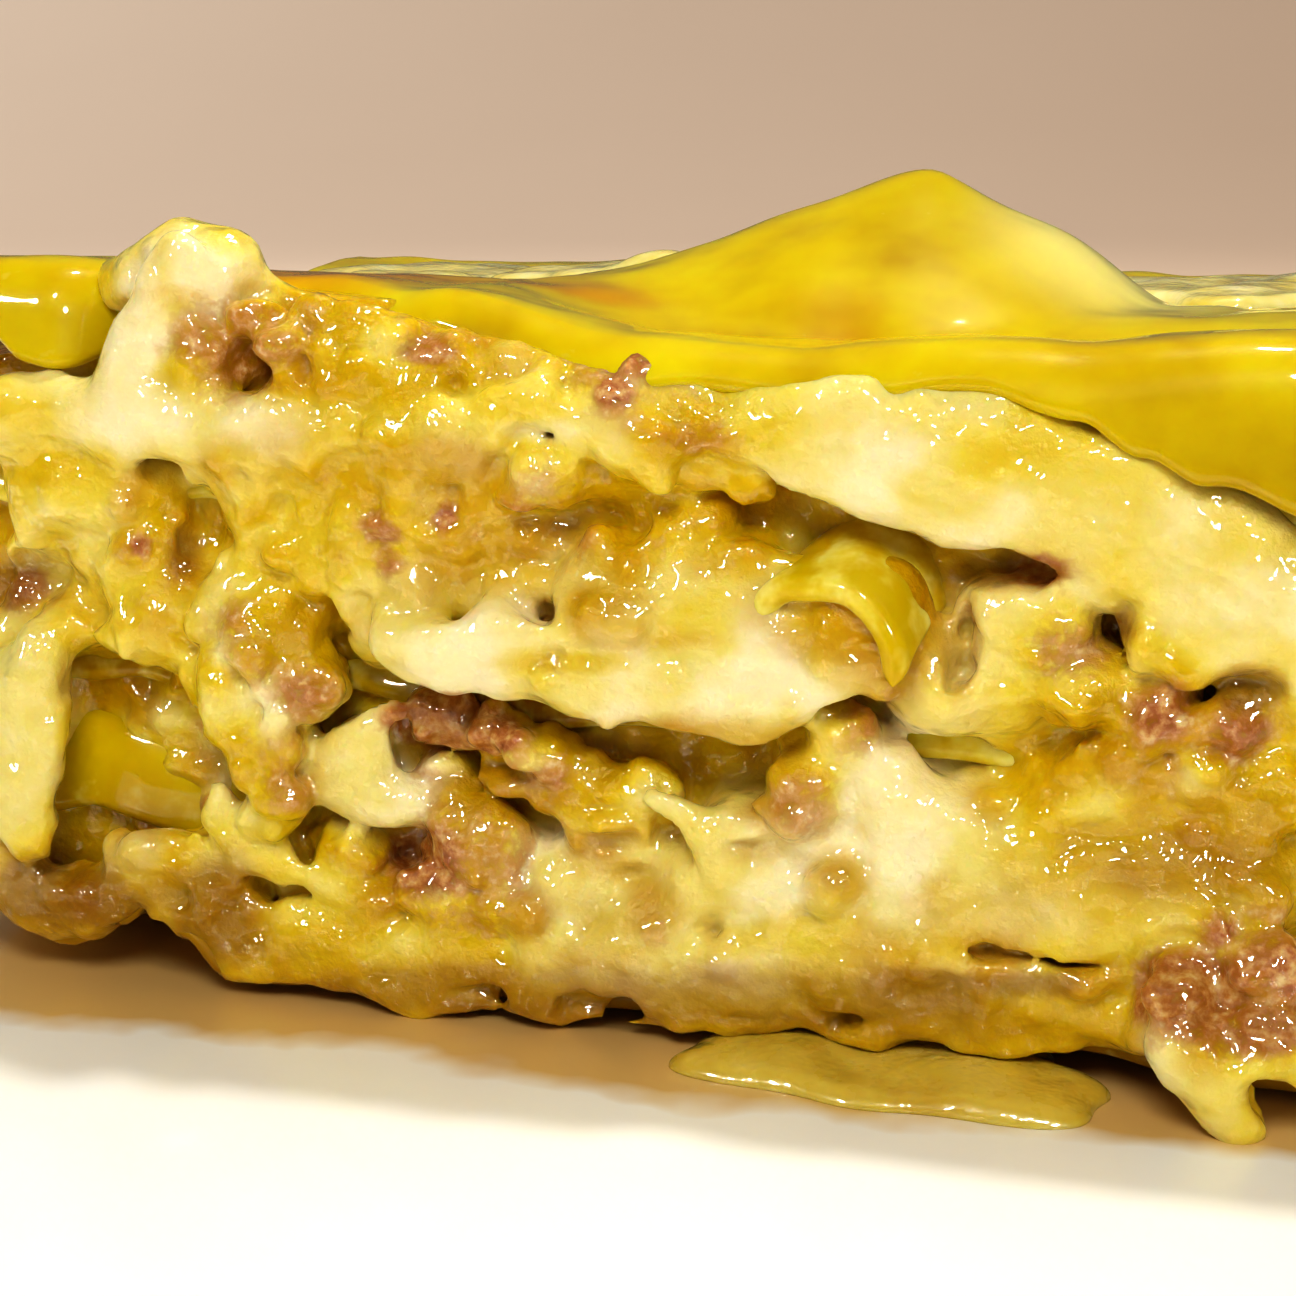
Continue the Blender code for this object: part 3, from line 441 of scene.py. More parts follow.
def crumbs(shapes, draw):
    """Small lumps on meat: each ellipsoid gets eight on its skin, at seeded places."""
    made = []
    for centre, radii in shapes:
        way = draw.normal(size=(8, 3))
        way[:, 1] = -np.abs(way[:, 1]) if centre[1] < -HALF_Y + 4 else way[:, 1]
        way /= np.linalg.norm(way, axis=1, keepdims=True)
        size = radii.mean() * draw.uniform(0.26, 0.42, 8)
        made += [(centre + radii * w * 0.86, np.full(3, s)) for w, s in zip(way, size)]
    return made


def smooth_min(a, b, blend):
    """Minimum of two distances, rounded off where they differ by less than blend."""
    near = np.maximum(blend - np.abs(a - b), 0) / blend
    return np.minimum(a, b) - near * near * blend / 4


def ellipsoid(x, y, z, centre, radii):
    """Distance to an ellipsoid, near enough: k(k-1)/m, with k the length of p/r and m
    the length of p/r^2."""
    p = ((x - centre[0]) / radii[0], (y - centre[1]) / radii[1], (z - centre[2]) / radii[2])
    k = np.sqrt(p[0] ** 2 + p[1] ** 2 + p[2] ** 2)
    m = np.sqrt((p[0] / radii[0]) ** 2 + (p[1] / radii[1]) ** 2 + (p[2] / radii[2]) ** 2)
    return k * (k - 1) / np.maximum(m, 1e-6)


def rod_distance(x, y, z, start, end, radius_start, radius_end, flat):
    """Distance to a straight strand, near enough: to the nearest point of its middle
    line, with depths counted flat times, less the radius there."""
    run = end - start
    t = (x - start[0]) * run[0] + (y - start[1]) * run[1] + (z - start[2]) * run[2]
    t = np.clip(t / (run @ run), 0, 1)
    p = (x - start[0] - t * run[0], (y - start[1] - t * run[1]) * flat, z - start[2] - t * run[2])
    away = np.sqrt(p[0] ** 2 + p[1] ** 2 + p[2] ** 2)
    return away - radius_start - (radius_end - radius_start) * t


class Field:
    """A distance field on a grid whose lines lie closer at the cut face."""

    def __init__(self, axes):
        self.axes = axes
        self.value = np.full([len(axis) for axis in axes], 9.0, np.float32)

    def window(self, low, high, margin):
        """The grid's part round a box, as slices and as open coordinates."""
        parts = tuple(
            slice(np.searchsorted(axis, a - margin), np.searchsorted(axis, b + margin))
            for axis, a, b in zip(self.axes, low, high))
        return parts, np.ix_(*(axis[part] for axis, part in zip(self.axes, parts)))

    def add(self, shapes, blend, rough):
        """Joins ellipsoids (2 values) and strands (5 values) in by a smooth minimum, their
        skin moved by rough."""
        for shape in shapes:
            if len(shape) == 2:
                measure, low, high = ellipsoid, shape[0] - shape[1], shape[0] + shape[1]
            else:
                radius = max(shape[2], shape[3])
                measure = rod_distance
                low = np.minimum(shape[0], shape[1]) - radius
                high = np.maximum(shape[0], shape[1]) + radius
            parts, lines = self.window(low, high, blend + 1.4)
            if 0 in self.value[parts].shape:
                continue
            distance = measure(*lines, *shape) + rough[parts]
            self.value[parts] = smooth_min(self.value[parts], distance, blend)

    def cut(self, shapes, blend, rough):
        """Takes ellipsoids out by a smooth maximum, their skin moved by rough."""
        for centre, radii in shapes:
            parts, lines = self.window(centre - radii, centre + radii, blend + 1.2)
            if 0 in self.value[parts].shape:
                continue
            distance = ellipsoid(*lines, centre, radii) + rough[parts]
            self.value[parts] = -smooth_min(-self.value[parts], distance, blend)


def surface_net(field, axes):
    """Closed skin where a field changes sign. Every grid cell that the skin crosses has
    one vertex, at the mean of the crossings on its 12 edges, and every grid line step
    that it crosses has one face, between the four cells round it."""
    inside = field < 0
    count = np.zeros([n - 1 for n in field.shape], np.int8)
    corners = np.array(list(np.ndindex(2, 2, 2)))
    for a, b, c in corners:
        count += inside[a:a + count.shape[0], b:b + count.shape[1], c:c + count.shape[2]]
    active = (count > 0) & (count < 8)
    cells = np.argwhere(active)
    number = np.full(active.shape, -1, np.int64)
    number[active] = np.arange(len(cells))
    around = cells[:, None, :] + corners[None]
    values = field[around[..., 0], around[..., 1], around[..., 2]]
    total, found = np.zeros((len(cells), 3)), np.zeros((len(cells), 1))
    for a in range(8):
        for axis in range(3):
            if corners[a][axis]:
                continue
            step = np.eye(3, dtype=int)[axis]
            b = int(np.where((corners == corners[a] + step).all(1))[0][0])
            crossed = (values[:, a] < 0) != (values[:, b] < 0)
            gap = np.where(crossed, values[:, a] - values[:, b], 1)
            point = corners[a] + (values[:, a] / gap)[:, None] * step
            total += np.where(crossed[:, None], point, 0)
            found += crossed[:, None]
    place = cells + total / found
    verts = np.stack([np.interp(place[:, k], np.arange(len(axes[k])), axes[k])
                      for k in range(3)], 1)
    faces = []
    for axis in range(3):
        low = [slice(1, -1)] * 3
        low[axis] = slice(0, -1)
        high = list(low)
        high[axis] = slice(1, None)
        low, high = tuple(low), tuple(high)
        start = np.argwhere(inside[low] != inside[high])
        offset = np.ones(3, int)
        offset[axis] = 0
        start = start + offset
        leaving = inside[start[:, 0], start[:, 1], start[:, 2]]
        one, two = (axis + 1) % 3, (axis + 2) % 3
        ring = []
        for da, db in ((-1, -1), (0, -1), (0, 0), (-1, 0)):
            cell = start.copy()
            cell[:, one] += da
            cell[:, two] += db
            ring.append(number[cell[:, 0], cell[:, 1], cell[:, 2]])
        ring = np.stack(ring, 1)
        ring[~leaving] = ring[~leaving][:, ::-1]
        faces.append(ring)
    return verts, np.concatenate(faces)


def mesh_object(name, verts, faces, material, colours=None):
    """A smooth piece from vertices in mm above the well, with its mix attribute. Its
    faces are one array, or a list of arrays that differ in their number of corners."""
    mesh = bpy.data.meshes.new(name)
    place = (np.asarray(verts, float) + [0, 0, WELL_TOP]) * 0.001
    mesh.vertices.add(len(place))
    mesh.vertices.foreach_set("co", place.ravel())
    groups = faces if isinstance(faces, list) else [faces]
    corners = np.concatenate([group.ravel() for group in groups])
    widths = np.concatenate([np.full(len(group), group.shape[1]) for group in groups])
    mesh.loops.add(len(corners))
    mesh.loops.foreach_set("vertex_index", corners)
    mesh.polygons.add(len(widths))
    mesh.polygons.foreach_set("loop_start", np.cumsum(widths) - widths)
    mesh.update(calc_edges=True)
    mesh.polygons.foreach_set("use_smooth", np.ones(len(widths), bool))
    if colours is not None:
        layer = mesh.attributes.new("mix", "FLOAT_COLOR", "POINT")
        layer.data.foreach_set("color", np.asarray(colours, np.float32).ravel())
    mesh.validate()
    piece = bpy.data.objects.new(name, mesh)
    bpy.context.scene.collection.objects.link(piece)
    mesh.materials.append(material)
    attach(piece, "root")
    return piece


def rounded_edge(distance, radius):
    """Half thickness of a sheet near its edge, as a share: a quarter circle."""
    t = np.clip(distance / radius, 0, 1)
    return np.sqrt(1 - (1 - t) ** 2)


def edge_steps(count, length, radius):
    """Positions from 0 to length, evenly spaced with closer ones at both ends."""
    inner = np.linspace(radius, length - radius, count)
    ends = radius * (1 - np.cos(np.linspace(0, np.pi / 2, 5)))[:-1]
    return np.concatenate([ends, inner, length - ends[::-1]])


def sheet_middle(number, x_share, s):
    """Middle surface of a sheet over (x share, s), each from -1 to 1. s is 0 at the bend
    in front: below 0 it runs level to the back edge, and above 0 it turns round
    LIP_RADIUS and hangs straight. The other three edges wander with noise that is read
    on a ring, so that it has no break at the corners."""
    sheet = SHEETS[number]
    ring_radius, ring_pitch, edge_wander, jag_depth = 2.6, 5.3, 1.1, 0.5
    turn_about = np.arctan2(-s, x_share)
    ring = np.stack([ring_radius * np.cos(turn_about), ring_radius * np.sin(turn_about),
                     np.full_like(x_share, number * ring_pitch)], -1)
    wander = edge_wander * noise_at(ring, 1.0, 3)
    x = x_share * (HALF_X + wander)
    out = along(x, sheet["out"])
    bend = -HALF_Y - out + LIP_RADIUS
    back = HALF_Y + wander
    lip = LIP_RADIUS + along(x, sheet["lip"])
    jag = noise_at(np.stack([x, np.full_like(x, 7.0 * number), 0 * x], -1), 3.1, 5)
    lip = lip + jag_depth * jag
    level_y = bend + (back - bend) * np.clip(-s, 0, 1)
    length = lip * np.clip(s, 0, 1)
    turn = np.minimum(length / LIP_RADIUS, LIP_TURN) * (number > 1)
    rest = length - turn * LIP_RADIUS
    y = np.where(s > 0, bend - LIP_RADIUS * np.sin(turn) - rest * np.cos(turn), level_y)
    z = sheet_height(number, x, np.maximum(np.where(s > 0, bend, level_y), -HALF_Y))
    z = z - np.where(s > 0, LIP_RADIUS * (1 - np.cos(turn)) + rest * np.sin(turn), 0)
    points = np.stack([x, y, z], -1)
    drape, in_and_out, up_and_down = np.clip(s, 0, 1), 0.5, 0.22
    folds = noise_at(points * [1, 0.2, 0.4] + number * 9, 5.0, 8)
    points[..., 1] -= drape * in_and_out * folds
    dents = noise_at(points * [1, 1, 0] + number * 31, 4.2, 9)
    points[..., 2] += up_and_down * dents * (number > 1)
    return points, lip, back - bend


def sheet_piece(number, columns, rows, lip_rows):
    """One sheet: its middle surface with half its thickness to each side along the
    normal, which is the cross product of the surface's two differences. The thickness
    follows a quarter circle down to nothing at all four edges, so the skin closes."""
    radius = PASTA / 2
    x_mm = edge_steps(columns, 2 * HALF_X, radius)
    x_share = x_mm / HALF_X - 1
    about_deep, about_hanging = 70, 6
    back = -edge_steps(rows, about_deep, radius)[::-1] / about_deep
    front = edge_steps(lip_rows, about_hanging, radius) / about_hanging
    s = np.concatenate([back[:-4], front[5:]])
    xs, ss = np.meshgrid(x_share, s, indexing="ij")
    middle, lip, level = sheet_middle(number, xs, ss)
    along_x = np.gradient(middle, axis=0)
    along_s = np.gradient(middle, axis=1)
    normal = np.cross(along_x, along_s)
    normal *= -1 / np.maximum(np.linalg.norm(normal, axis=-1, keepdims=True), 1e-9)
    edge_x = HALF_X * (1 - np.abs(xs))
    edge_s = np.where(ss > 0, (1 - ss) * lip, (1 + ss) * level)
    share = rounded_edge(edge_x, radius) * rounded_edge(edge_s, radius)
    swell = 1 + 0.12 * noise_at(middle + number * 17, 6.0, 12)
    half = (radius * share * swell)[..., None] * normal
    return two_skins(middle + half, middle - half, flip=False)


def grid_quads(index):
    """Quads between neighbours of a grid of vertex numbers, facing along the normal
    of sheet_piece."""
    quads = np.stack([index[:-1, :-1], index[:-1, 1:], index[1:, 1:], index[1:, :-1]], -1)
    return quads.reshape(-1, 4)


def hex_colour(code):
    """An sRGB hex colour as linear red, green, blue and an alpha of 1."""
    value = np.array([int(code[i:i + 2], 16) for i in (1, 3, 5)]) / 255
    linear = np.where(value <= 0.04045, value / 12.92, ((value + 0.055) / 1.055) ** 2.4)
    return (*linear, 1.0)


def node(tree, kind, inputs, output=0, stops=(), **settings):
    """Adds a node, sets its properties and its ramp's (position, colour) stops, fills or
    links its inputs, and returns one of its outputs."""
    made = tree.nodes.new("ShaderNode" + kind)
    for name, value in settings.items():
        setattr(made, name, value)
    for key, value in inputs.items():
        socket = made.inputs[key]
        if isinstance(value, bpy.types.NodeSocket):
            tree.links.new(value, socket)
        else:
            socket.default_value = hex_colour(value) if isinstance(value, str) else value
    while stops and len(made.color_ramp.elements) < len(stops):
        made.color_ramp.elements.new(0.5)
    for element, (position, code) in zip(made.color_ramp.elements if stops else (), stops):
        element.position = position
        element.color = hex_colour(code)
    return made.outputs[output]


# How grainy the noises are: most have three octaves, the wet film only one.
GRAINY = {"Detail": 3.0, "Roughness": 0.55}
SMOOTH = {"Detail": 0.6, "Roughness": 0.4}


def new_material(name, radius=(1, 0.5, 0.2), **values):
    """A material with a Principled shader: its tree, its shader and Object coordinates."""
    material = bpy.data.materials.new(name)
    material.use_nodes = True
    tree = material.node_tree
    shader = tree.nodes["Principled BSDF"]
    shader.inputs["Subsurface Radius"].default_value = radius
    for key, value in values.items():
        shader.inputs[key.replace("_", " ")].default_value = value
    return material, tree, shader, node(tree, "TexCoord", {}, "Object")


def mix_channels(tree):
    """The four channels of the mix attribute."""
    mix = node(tree, "Attribute", {}, "Color", attribute_name="mix").node.outputs
    parts = node(tree, "SeparateColor", {"Color": mix["Color"]}).node.outputs
    return [*parts, mix["Alpha"]]


def per_mm(pitch):
    """Texture scale that gives features of a pitch in mm, as Object coordinates are in
    metres."""
    return 1000 / pitch


def finish_shader(tree, shader, colour, rough, relief, depth, film, film_depth):
    """Links colour and roughness, and bump: relief of a depth in metres under the wet
    film, and the film's own ripples in the coat, which break its highlights up."""
    tree.links.new(colour, shader.inputs["Base Color"])
    tree.links.new(rough, shader.inputs["Roughness"])
    under = node(tree, "Bump", {"Height": relief, "Distance": depth})
    over = node(tree, "Bump", {"Height": film, "Distance": film_depth})
    tree.links.new(under, shader.inputs["Normal"])
    tree.links.new(over, shader.inputs["Coat Normal"])


def pasta_material():
    """Boiled egg pasta under a film of oil and sauce. The eye gets a deep yellow that is
    a little see-through at its edges, slow unevenness of colour, sharp wet highlights
    broken by small ripples, and paler smears where sauce sticks to it. The mix attribute
    holds sauce, browning, paleness and a painted deep olive shade, which lies under
    overhangs and on the lower sheets."""
    material, tree, shader, coords = new_material(
        "boiled_egg_pasta", (1.0, 0.6, 0.05), Subsurface_Weight=0.3, Subsurface_Scale=0.0014,
        Coat_Weight=0.9, Coat_Roughness=0.05, Coat_IOR=1.36, Specular_IOR_Level=0.06)
    sauce, brown, pale, olive_shade = mix_channels(tree)
    slow, mid = (node(tree, "TexNoise", {"Vector": coords, "Scale": per_mm(pitch), **GRAINY})
                 for pitch in (9.0, 2.4))
    film = node(tree, "TexNoise", {"Vector": coords, "Scale": per_mm(3.6), **SMOOTH})
    body = node(tree, "ValToRGB", {0: slow}, stops=(
        (0.3, "#c09f00"), (0.5, "#d2b800"), (0.7, "#dcca05")))
    cream = node(tree, "ValToRGB", {0: mid}, stops=(
        (0.32, "#dcc02c"), (0.5, "#e8d654"), (0.68, "#f0e488")))
    # The last channel is painted shade, a deep olive ochre.
    for share, code in ((pale, "#ecdf84"), (brown, "#bf7200"), (olive_shade, "#8e6100")):
        body = node(tree, "Mix", {0: share, 6: body, 7: code}, 2, data_type="RGBA")
    edge = node(tree, "Math", {0: sauce, 1: mid}, operation="ADD")
    cover = node(tree, "MapRange", {"Value": edge, "From Min": 0.7, "From Max": 1.05})
    body = node(tree, "Mix", {0: cover, 6: body, 7: cream}, 2, data_type="RGBA")
    rough = node(tree, "MapRange", {"Value": slow, "To Min": 0.25, "To Max": 0.45})
    finish_shader(tree, shader, body, rough, slow, 0.00005, film, 0.00016)
    return material


def filling_material():
    """Bechamel, melted cheese and minced sausage, wet with fat. The eye gets golden sauce,
    creamy yellow cheese and milk-white bechamel, pink-brown granular meat where the sauce
    is thin, a painted red-brown shade in the hollows and along the base, and small sharp
    highlights. The mix attribute holds bare meat, paleness, yolk yellow and painted shade."""
    material, tree, shader, coords = new_material(
        "bechamel_and_mince", (1.0, 0.6, 0.15), Subsurface_Weight=0.5,
        Subsurface_Scale=0.0014, Coat_Weight=1.0, Coat_Roughness=0.06, Coat_IOR=1.47,
        Specular_IOR_Level=0.12)
    meaty, pale, yolk, painted_shade = mix_channels(tree)
    slow, mid, fine = (
        node(tree, "TexNoise", {"Vector": coords, "Scale": per_mm(pitch), **GRAINY})
        for pitch in (7.0, 2.2, 0.8))
    film = node(tree, "TexNoise", {"Vector": coords, "Scale": per_mm(1.3), **SMOOTH})
    value = node(tree, "MapRange", {"Value": mid, "To Min": -0.12, "To Max": 0.12})
    value = node(tree, "Math", {0: pale, 1: value}, operation="ADD")
    colour = node(tree, "ValToRGB", {0: value}, stops=(
        (0.08, "#b28200"), (0.3, "#caa500"), (0.48, "#d9b80a"), (0.64, "#e4ce4c"),
        (0.84, "#e8d988"), (1.0, "#f2e7ba")))
    golden = node(tree, "ValToRGB", {0: slow}, stops=(
        (0.35, "#bd8c00"), (0.55, "#cfa702"), (0.7, "#dbc10d")))
    share = node(tree, "Math", {0: yolk, 1: 0.8}, operation="MULTIPLY")
    colour = node(tree, "Mix", {0: share, 6: colour, 7: golden}, 2, data_type="RGBA")
    meat = node(tree, "ValToRGB", {0: fine}, stops=(
        (0.3, "#80401e"), (0.46, "#a96a3e"), (0.58, "#c5945e"), (0.74, "#dec48c")))
    edge = node(tree, "Math", {0: meaty, 1: fine}, operation="ADD")
    bare = node(tree, "MapRange", {"Value": edge, "From Min": 0.75, "From Max": 1.25})
    colour = node(tree, "Mix", {0: bare, 6: colour, 7: meat}, 2, data_type="RGBA")
    # The fourth channel is painted shade: an ochre tint that turns dark red-brown as it deepens.
    brown = node(tree, "Mix", {0: painted_shade, 6: "#c89405", 7: "#642303"}, 2, data_type="RGBA")
    colour = node(tree, "Mix", {0: painted_shade, 6: colour, 7: brown}, 2, data_type="RGBA")
    rough = node(tree, "MapRange", {"Value": mid, "To Min": 0.25, "To Max": 0.5})
    relief = node(tree, "Math", {0: fine, 1: 0.6, 2: mid}, operation="MULTIPLY_ADD")
    finish_shader(tree, shader, colour, rough, relief, 0.0003, film, 0.0006)
    return material


def drop_material(name, radius, values, pitches, stops, rough_range, ripple):
    """A pale wet material that light enters: its colour follows noise of the first pitch,
    and its roughness, relief and film follow noise of the second."""
    material, tree, shader, coords = new_material(
        name, radius, Subsurface_Weight=0.4, Coat_Weight=1.0, Coat_Roughness=0.05, **values)
    slow, mid = (node(tree, "TexNoise", {"Vector": coords, "Scale": per_mm(pitch), **GRAINY})
                 for pitch in pitches)
    colour = node(tree, "ValToRGB", {0: slow}, stops=stops)
    low, high = rough_range
    rough = node(tree, "MapRange", {"Value": mid, "To Min": low, "To Max": high})
    finish_shader(tree, shader, colour, rough, mid, 0.0002, mid, ripple)
    return material


def cheese_material():
    """Melted cheese. The eye gets a smooth, pale, milky yellow with soft depth and a
    greasy shine that small dimples break up."""
    return drop_material(
        "melted_cheese", (1.0, 0.7, 0.3), dict(Subsurface_Scale=0.002, Specular_IOR_Level=0.2),
        (4.0, 1.6), ((0.3, "#e3cc60"), (0.55, "#efe094"), (0.75, "#f5ecc0")), (0.25, 0.45),
        0.0002)


def sauce_material():
    """Thin bechamel and fat on the plate. The eye gets a glossy pale yellow that is
    paler where it lies thinner."""
    return drop_material(
        "run_out_sauce", (1.0, 0.7, 0.2), dict(Subsurface_Scale=0.0012, Specular_IOR_Level=0.3),
        (5.0, 2.6), ((0.3, "#c8a83c"), (0.55, "#d4bc50"), (0.75, "#dcc870")), (0.2, 0.35),
        0.0003)


def porcelain_material():
    """White glazed porcelain. The eye gets a clean white, a clear glassy glaze and its
    faint orange peel, and round the food a brown film that is partly fat and meat juice
    and partly painted shade: the brown of the slice's shadow, warmed by light thrown back
    from the food. Its ragged edge lies FAT_AND_SHADE_REACH in front of the slice, and less far
    out at its ends and back."""
    material, tree, shader, coords = new_material(
        "white_porcelain", Coat_Weight=0.6, Coat_Roughness=0.05)
    slow, peel, edge = (
        node(tree, "TexNoise", {"Vector": coords, "Scale": per_mm(pitch), **GRAINY})
        for pitch in (30.0, 4.0, 12.0))
    glaze = node(tree, "ValToRGB", {0: slow}, stops=((0.35, "#f3f3f4"), (0.65, "#f8f8f9")))
    place = node(tree, "SeparateXYZ", {"Vector": coords}).node.outputs
    sides = []
    for axis, centre, half in (("X", 0, HALF_X - 6), ("Y", -3.5, HALF_Y - 3.5)):
        away = node(tree, "Math", {0: place[axis], 1: centre * 0.001}, operation="SUBTRACT")
        away = node(tree, "Math", {0: away}, operation="ABSOLUTE")
        sides.append(node(tree, "Math", {0: away, 1: half * 0.001}, operation="SUBTRACT"))
    away = node(tree, "Math", {0: sides[0], 1: sides[1]}, operation="MAXIMUM")
    ragged = 0.012
    away = node(tree, "Math", {0: edge, 1: -ragged, 2: away}, operation="MULTIPLY_ADD")
    film = node(tree, "MapRange", {
        "Value": away, "From Min": FAT_AND_SHADE_REACH - 0.75 * ragged,
        "From Max": FAT_AND_SHADE_REACH - 0.5 * ragged, "To Min": 1.0, "To Max": 0.0})
    # Painted shade: the brown round the food is partly fat film and partly the slice's shadow.
    colour = node(tree, "Mix", {0: film, 6: glaze, 7: "#d9b87c"}, 2, data_type="RGBA")
    rough = node(tree, "MapRange", {"Value": slow, "To Min": 0.3, "To Max": 0.4})
    finish_shader(tree, shader, colour, rough, peel, 0.00003, peel, 0.00003)
    return material


def stage_material():
    """Matt paper: one soft grey-beige with a faint mottle. Its light is painted: it glows by its
    own emission, and is paler to the left, where more light is painted on.
    """
    material, tree, shader, coords = new_material("backdrop_paper", Roughness=0.9)
    mottle = node(tree, "TexNoise", {"Vector": coords, "Scale": per_mm(400.0), **GRAINY})
    place = node(tree, "SeparateXYZ", {"Vector": coords}).node.outputs
    # Painted light: the paper is paler to the left.
    across = node(tree, "MapRange", {"Value": place["X"], "From Min": -1.6, "From Max": 0.3})
    tone = node(tree, "Math", {0: mottle, 1: 0.1, 2: across}, operation="MULTIPLY_ADD")
    colour = node(tree, "ValToRGB", {0: tone}, stops=((0.05, "#efe0d0"), (0.95, "#baa592")))
    tree.links.new(colour, shader.inputs["Base Color"])
    tree.links.new(colour, shader.inputs["Emission Color"])
    shader.inputs["Emission Strength"].default_value = BACKDROP_GLOW
    return material


def side_blobs(draw, count, sizes, out, flat=1.0):
    """Ellipsoids spread evenly round the two ends and the back, layer by layer, at
    seeded places."""
    path = 4 * HALF_Y + 2 * HALF_X
    blobs = []
    for number in range(count):
        layer = number % 4 + 1
        at = (number + draw.uniform(0.1, 0.9)) * path / count
        radius = draw.uniform(*sizes)
        radii = np.array([radius, radius, radius * flat]) * draw.uniform(0.8, 1.25, 3)
        inside = radius - draw.uniform(*out)
        if at < 2 * HALF_Y:
            x, y = HALF_X - inside, -HALF_Y + at
        elif at < 2 * (HALF_Y + HALF_X):
            x, y = HALF_X - (at - 2 * HALF_Y), HALF_Y - inside
        else:
            x, y = -HALF_X + inside, HALF_Y - (at - 2 * (HALF_X + HALF_Y))
        x = np.clip(x, -HALF_X + inside, HALF_X - inside)
        y = np.clip(y, -HALF_Y + radius, HALF_Y - inside)
        low = float(sheet_height(layer, x, y)) + 1
        high = float(sheet_height(layer + 1, x, y)) - 1
        z = low + (high - low) * draw.uniform(0.2, 0.8)
        blobs.append((np.array([x, y, z]), np.minimum(radii, [9, 9, (high - low) * 0.55])))
    return blobs


def filling_axes():
    """Grid lines of the filling: close together everywhere on X and Z, and on Y only
    near the cut face."""
    pitch = 0.36
    x = np.arange(-51, 51 + pitch, pitch)
    z = np.arange(-1.5, 52 + pitch, pitch)
    y = np.concatenate([np.arange(-44.5, -27, pitch), np.arange(-26.4, 32, 1.0),
                        np.arange(32, 39, 0.6)])
    return tuple(axis.astype(np.float32) for axis in (x, y, z))


def filling_core(axes):
    """The block between the bottom and the top sheet: a box with rounded upright edges
    whose sides wander with noise of two pitches. Its front lies CORE_BACK behind the
    cut face, so that gaps between the shapes on it are deep, and its top is level where
    the sheet over it hides it."""
    x, y, z = np.ix_(*axes)
    wander = 0.9 * noise_grid(axes, 7.5, 21) + 0.6 * noise_grid(axes, 3.2, 22)
    round_off = 5.0
    across = np.abs(x) - (HALF_X - 0.9) + round_off
    deep = np.abs(y - CORE_BACK / 2) - (HALF_Y - 0.6 - CORE_BACK / 2) + round_off
    side = np.hypot(np.maximum(across, 0), np.maximum(deep, 0)) - round_off
    side = side + np.minimum(np.maximum(across, deep), 0) + wander
    flat_x, flat_y = x[:, :, 0], y[:, :, 0]
    clipped_y = np.maximum(flat_y, -HALF_Y)
    inner = np.minimum(HALF_X - 5 - np.abs(flat_x),
                       np.minimum(flat_y + 27, HALF_Y - 5 - flat_y))
    inner = np.clip(inner / 4, 0, 1)
    top = sheet_height(5, flat_x, clipped_y)
    top = (top + (np.minimum(top, HIDDEN_TOP) - top) * inner)[:, :, None]
    low = sheet_height(1, flat_x, clipped_y)[:, :, None]
    upright = np.maximum(z - top, low - z)
    return -smooth_min(-side, -upright, 0.8).astype(np.float32)


def filling_fields(axes, draw):
    """One field for each kind of filling, and the shapes cut out of all of them. Each
    kind's skin moves with noise: meat is granular, milk-white bechamel almost smooth."""
    fine, soft, mid = (noise_grid(axes, pitch, seed) for pitch, seed in
                       ((0.95, 32), (2.6, 33), (1.5, 31)))
    meat = balls(MEAT) + side_blobs(draw, 96, (2.2, 4.6), (-0.3, 1.5))
    meat += crumbs(meat, draw)
    cream = balls(CREAM) + side_blobs(draw, 46, (2.6, 6.5), (0.1, 1.3), 0.7) + rods("cream")
    kinds = {
        "coat": (balls(COAT) + rods("coat"), 3.0, 0.45 * soft + 0.5 * mid),
        "cream": (cream, 2.3, 0.5 * soft + 0.3 * mid),
        "yolk": (rods("yolk") + balls(YOLKY), 1.8, 0.3 * soft + 0.12 * mid),
        "white": (balls(WHITE) + rods("white"), 2.0, 0.45 * soft + 0.2 * mid),
        "meat": (meat, 0.45, 0.3 * mid + 0.22 * fine)}
    fields = {}
    for kind, (shapes, blend, rough) in kinds.items():
        fields[kind] = Field(axes)
        fields[kind].add(shapes, blend, rough)
    holes = [(centre + [0, -radii[1] * 0.2, 0], radii * [1, 1.3, 1])
             for centre, radii in balls(HOLES)]
    return fields, holes + side_blobs(draw, 34, (1.2, 2.4), (1.0, 2.0), 0.7)


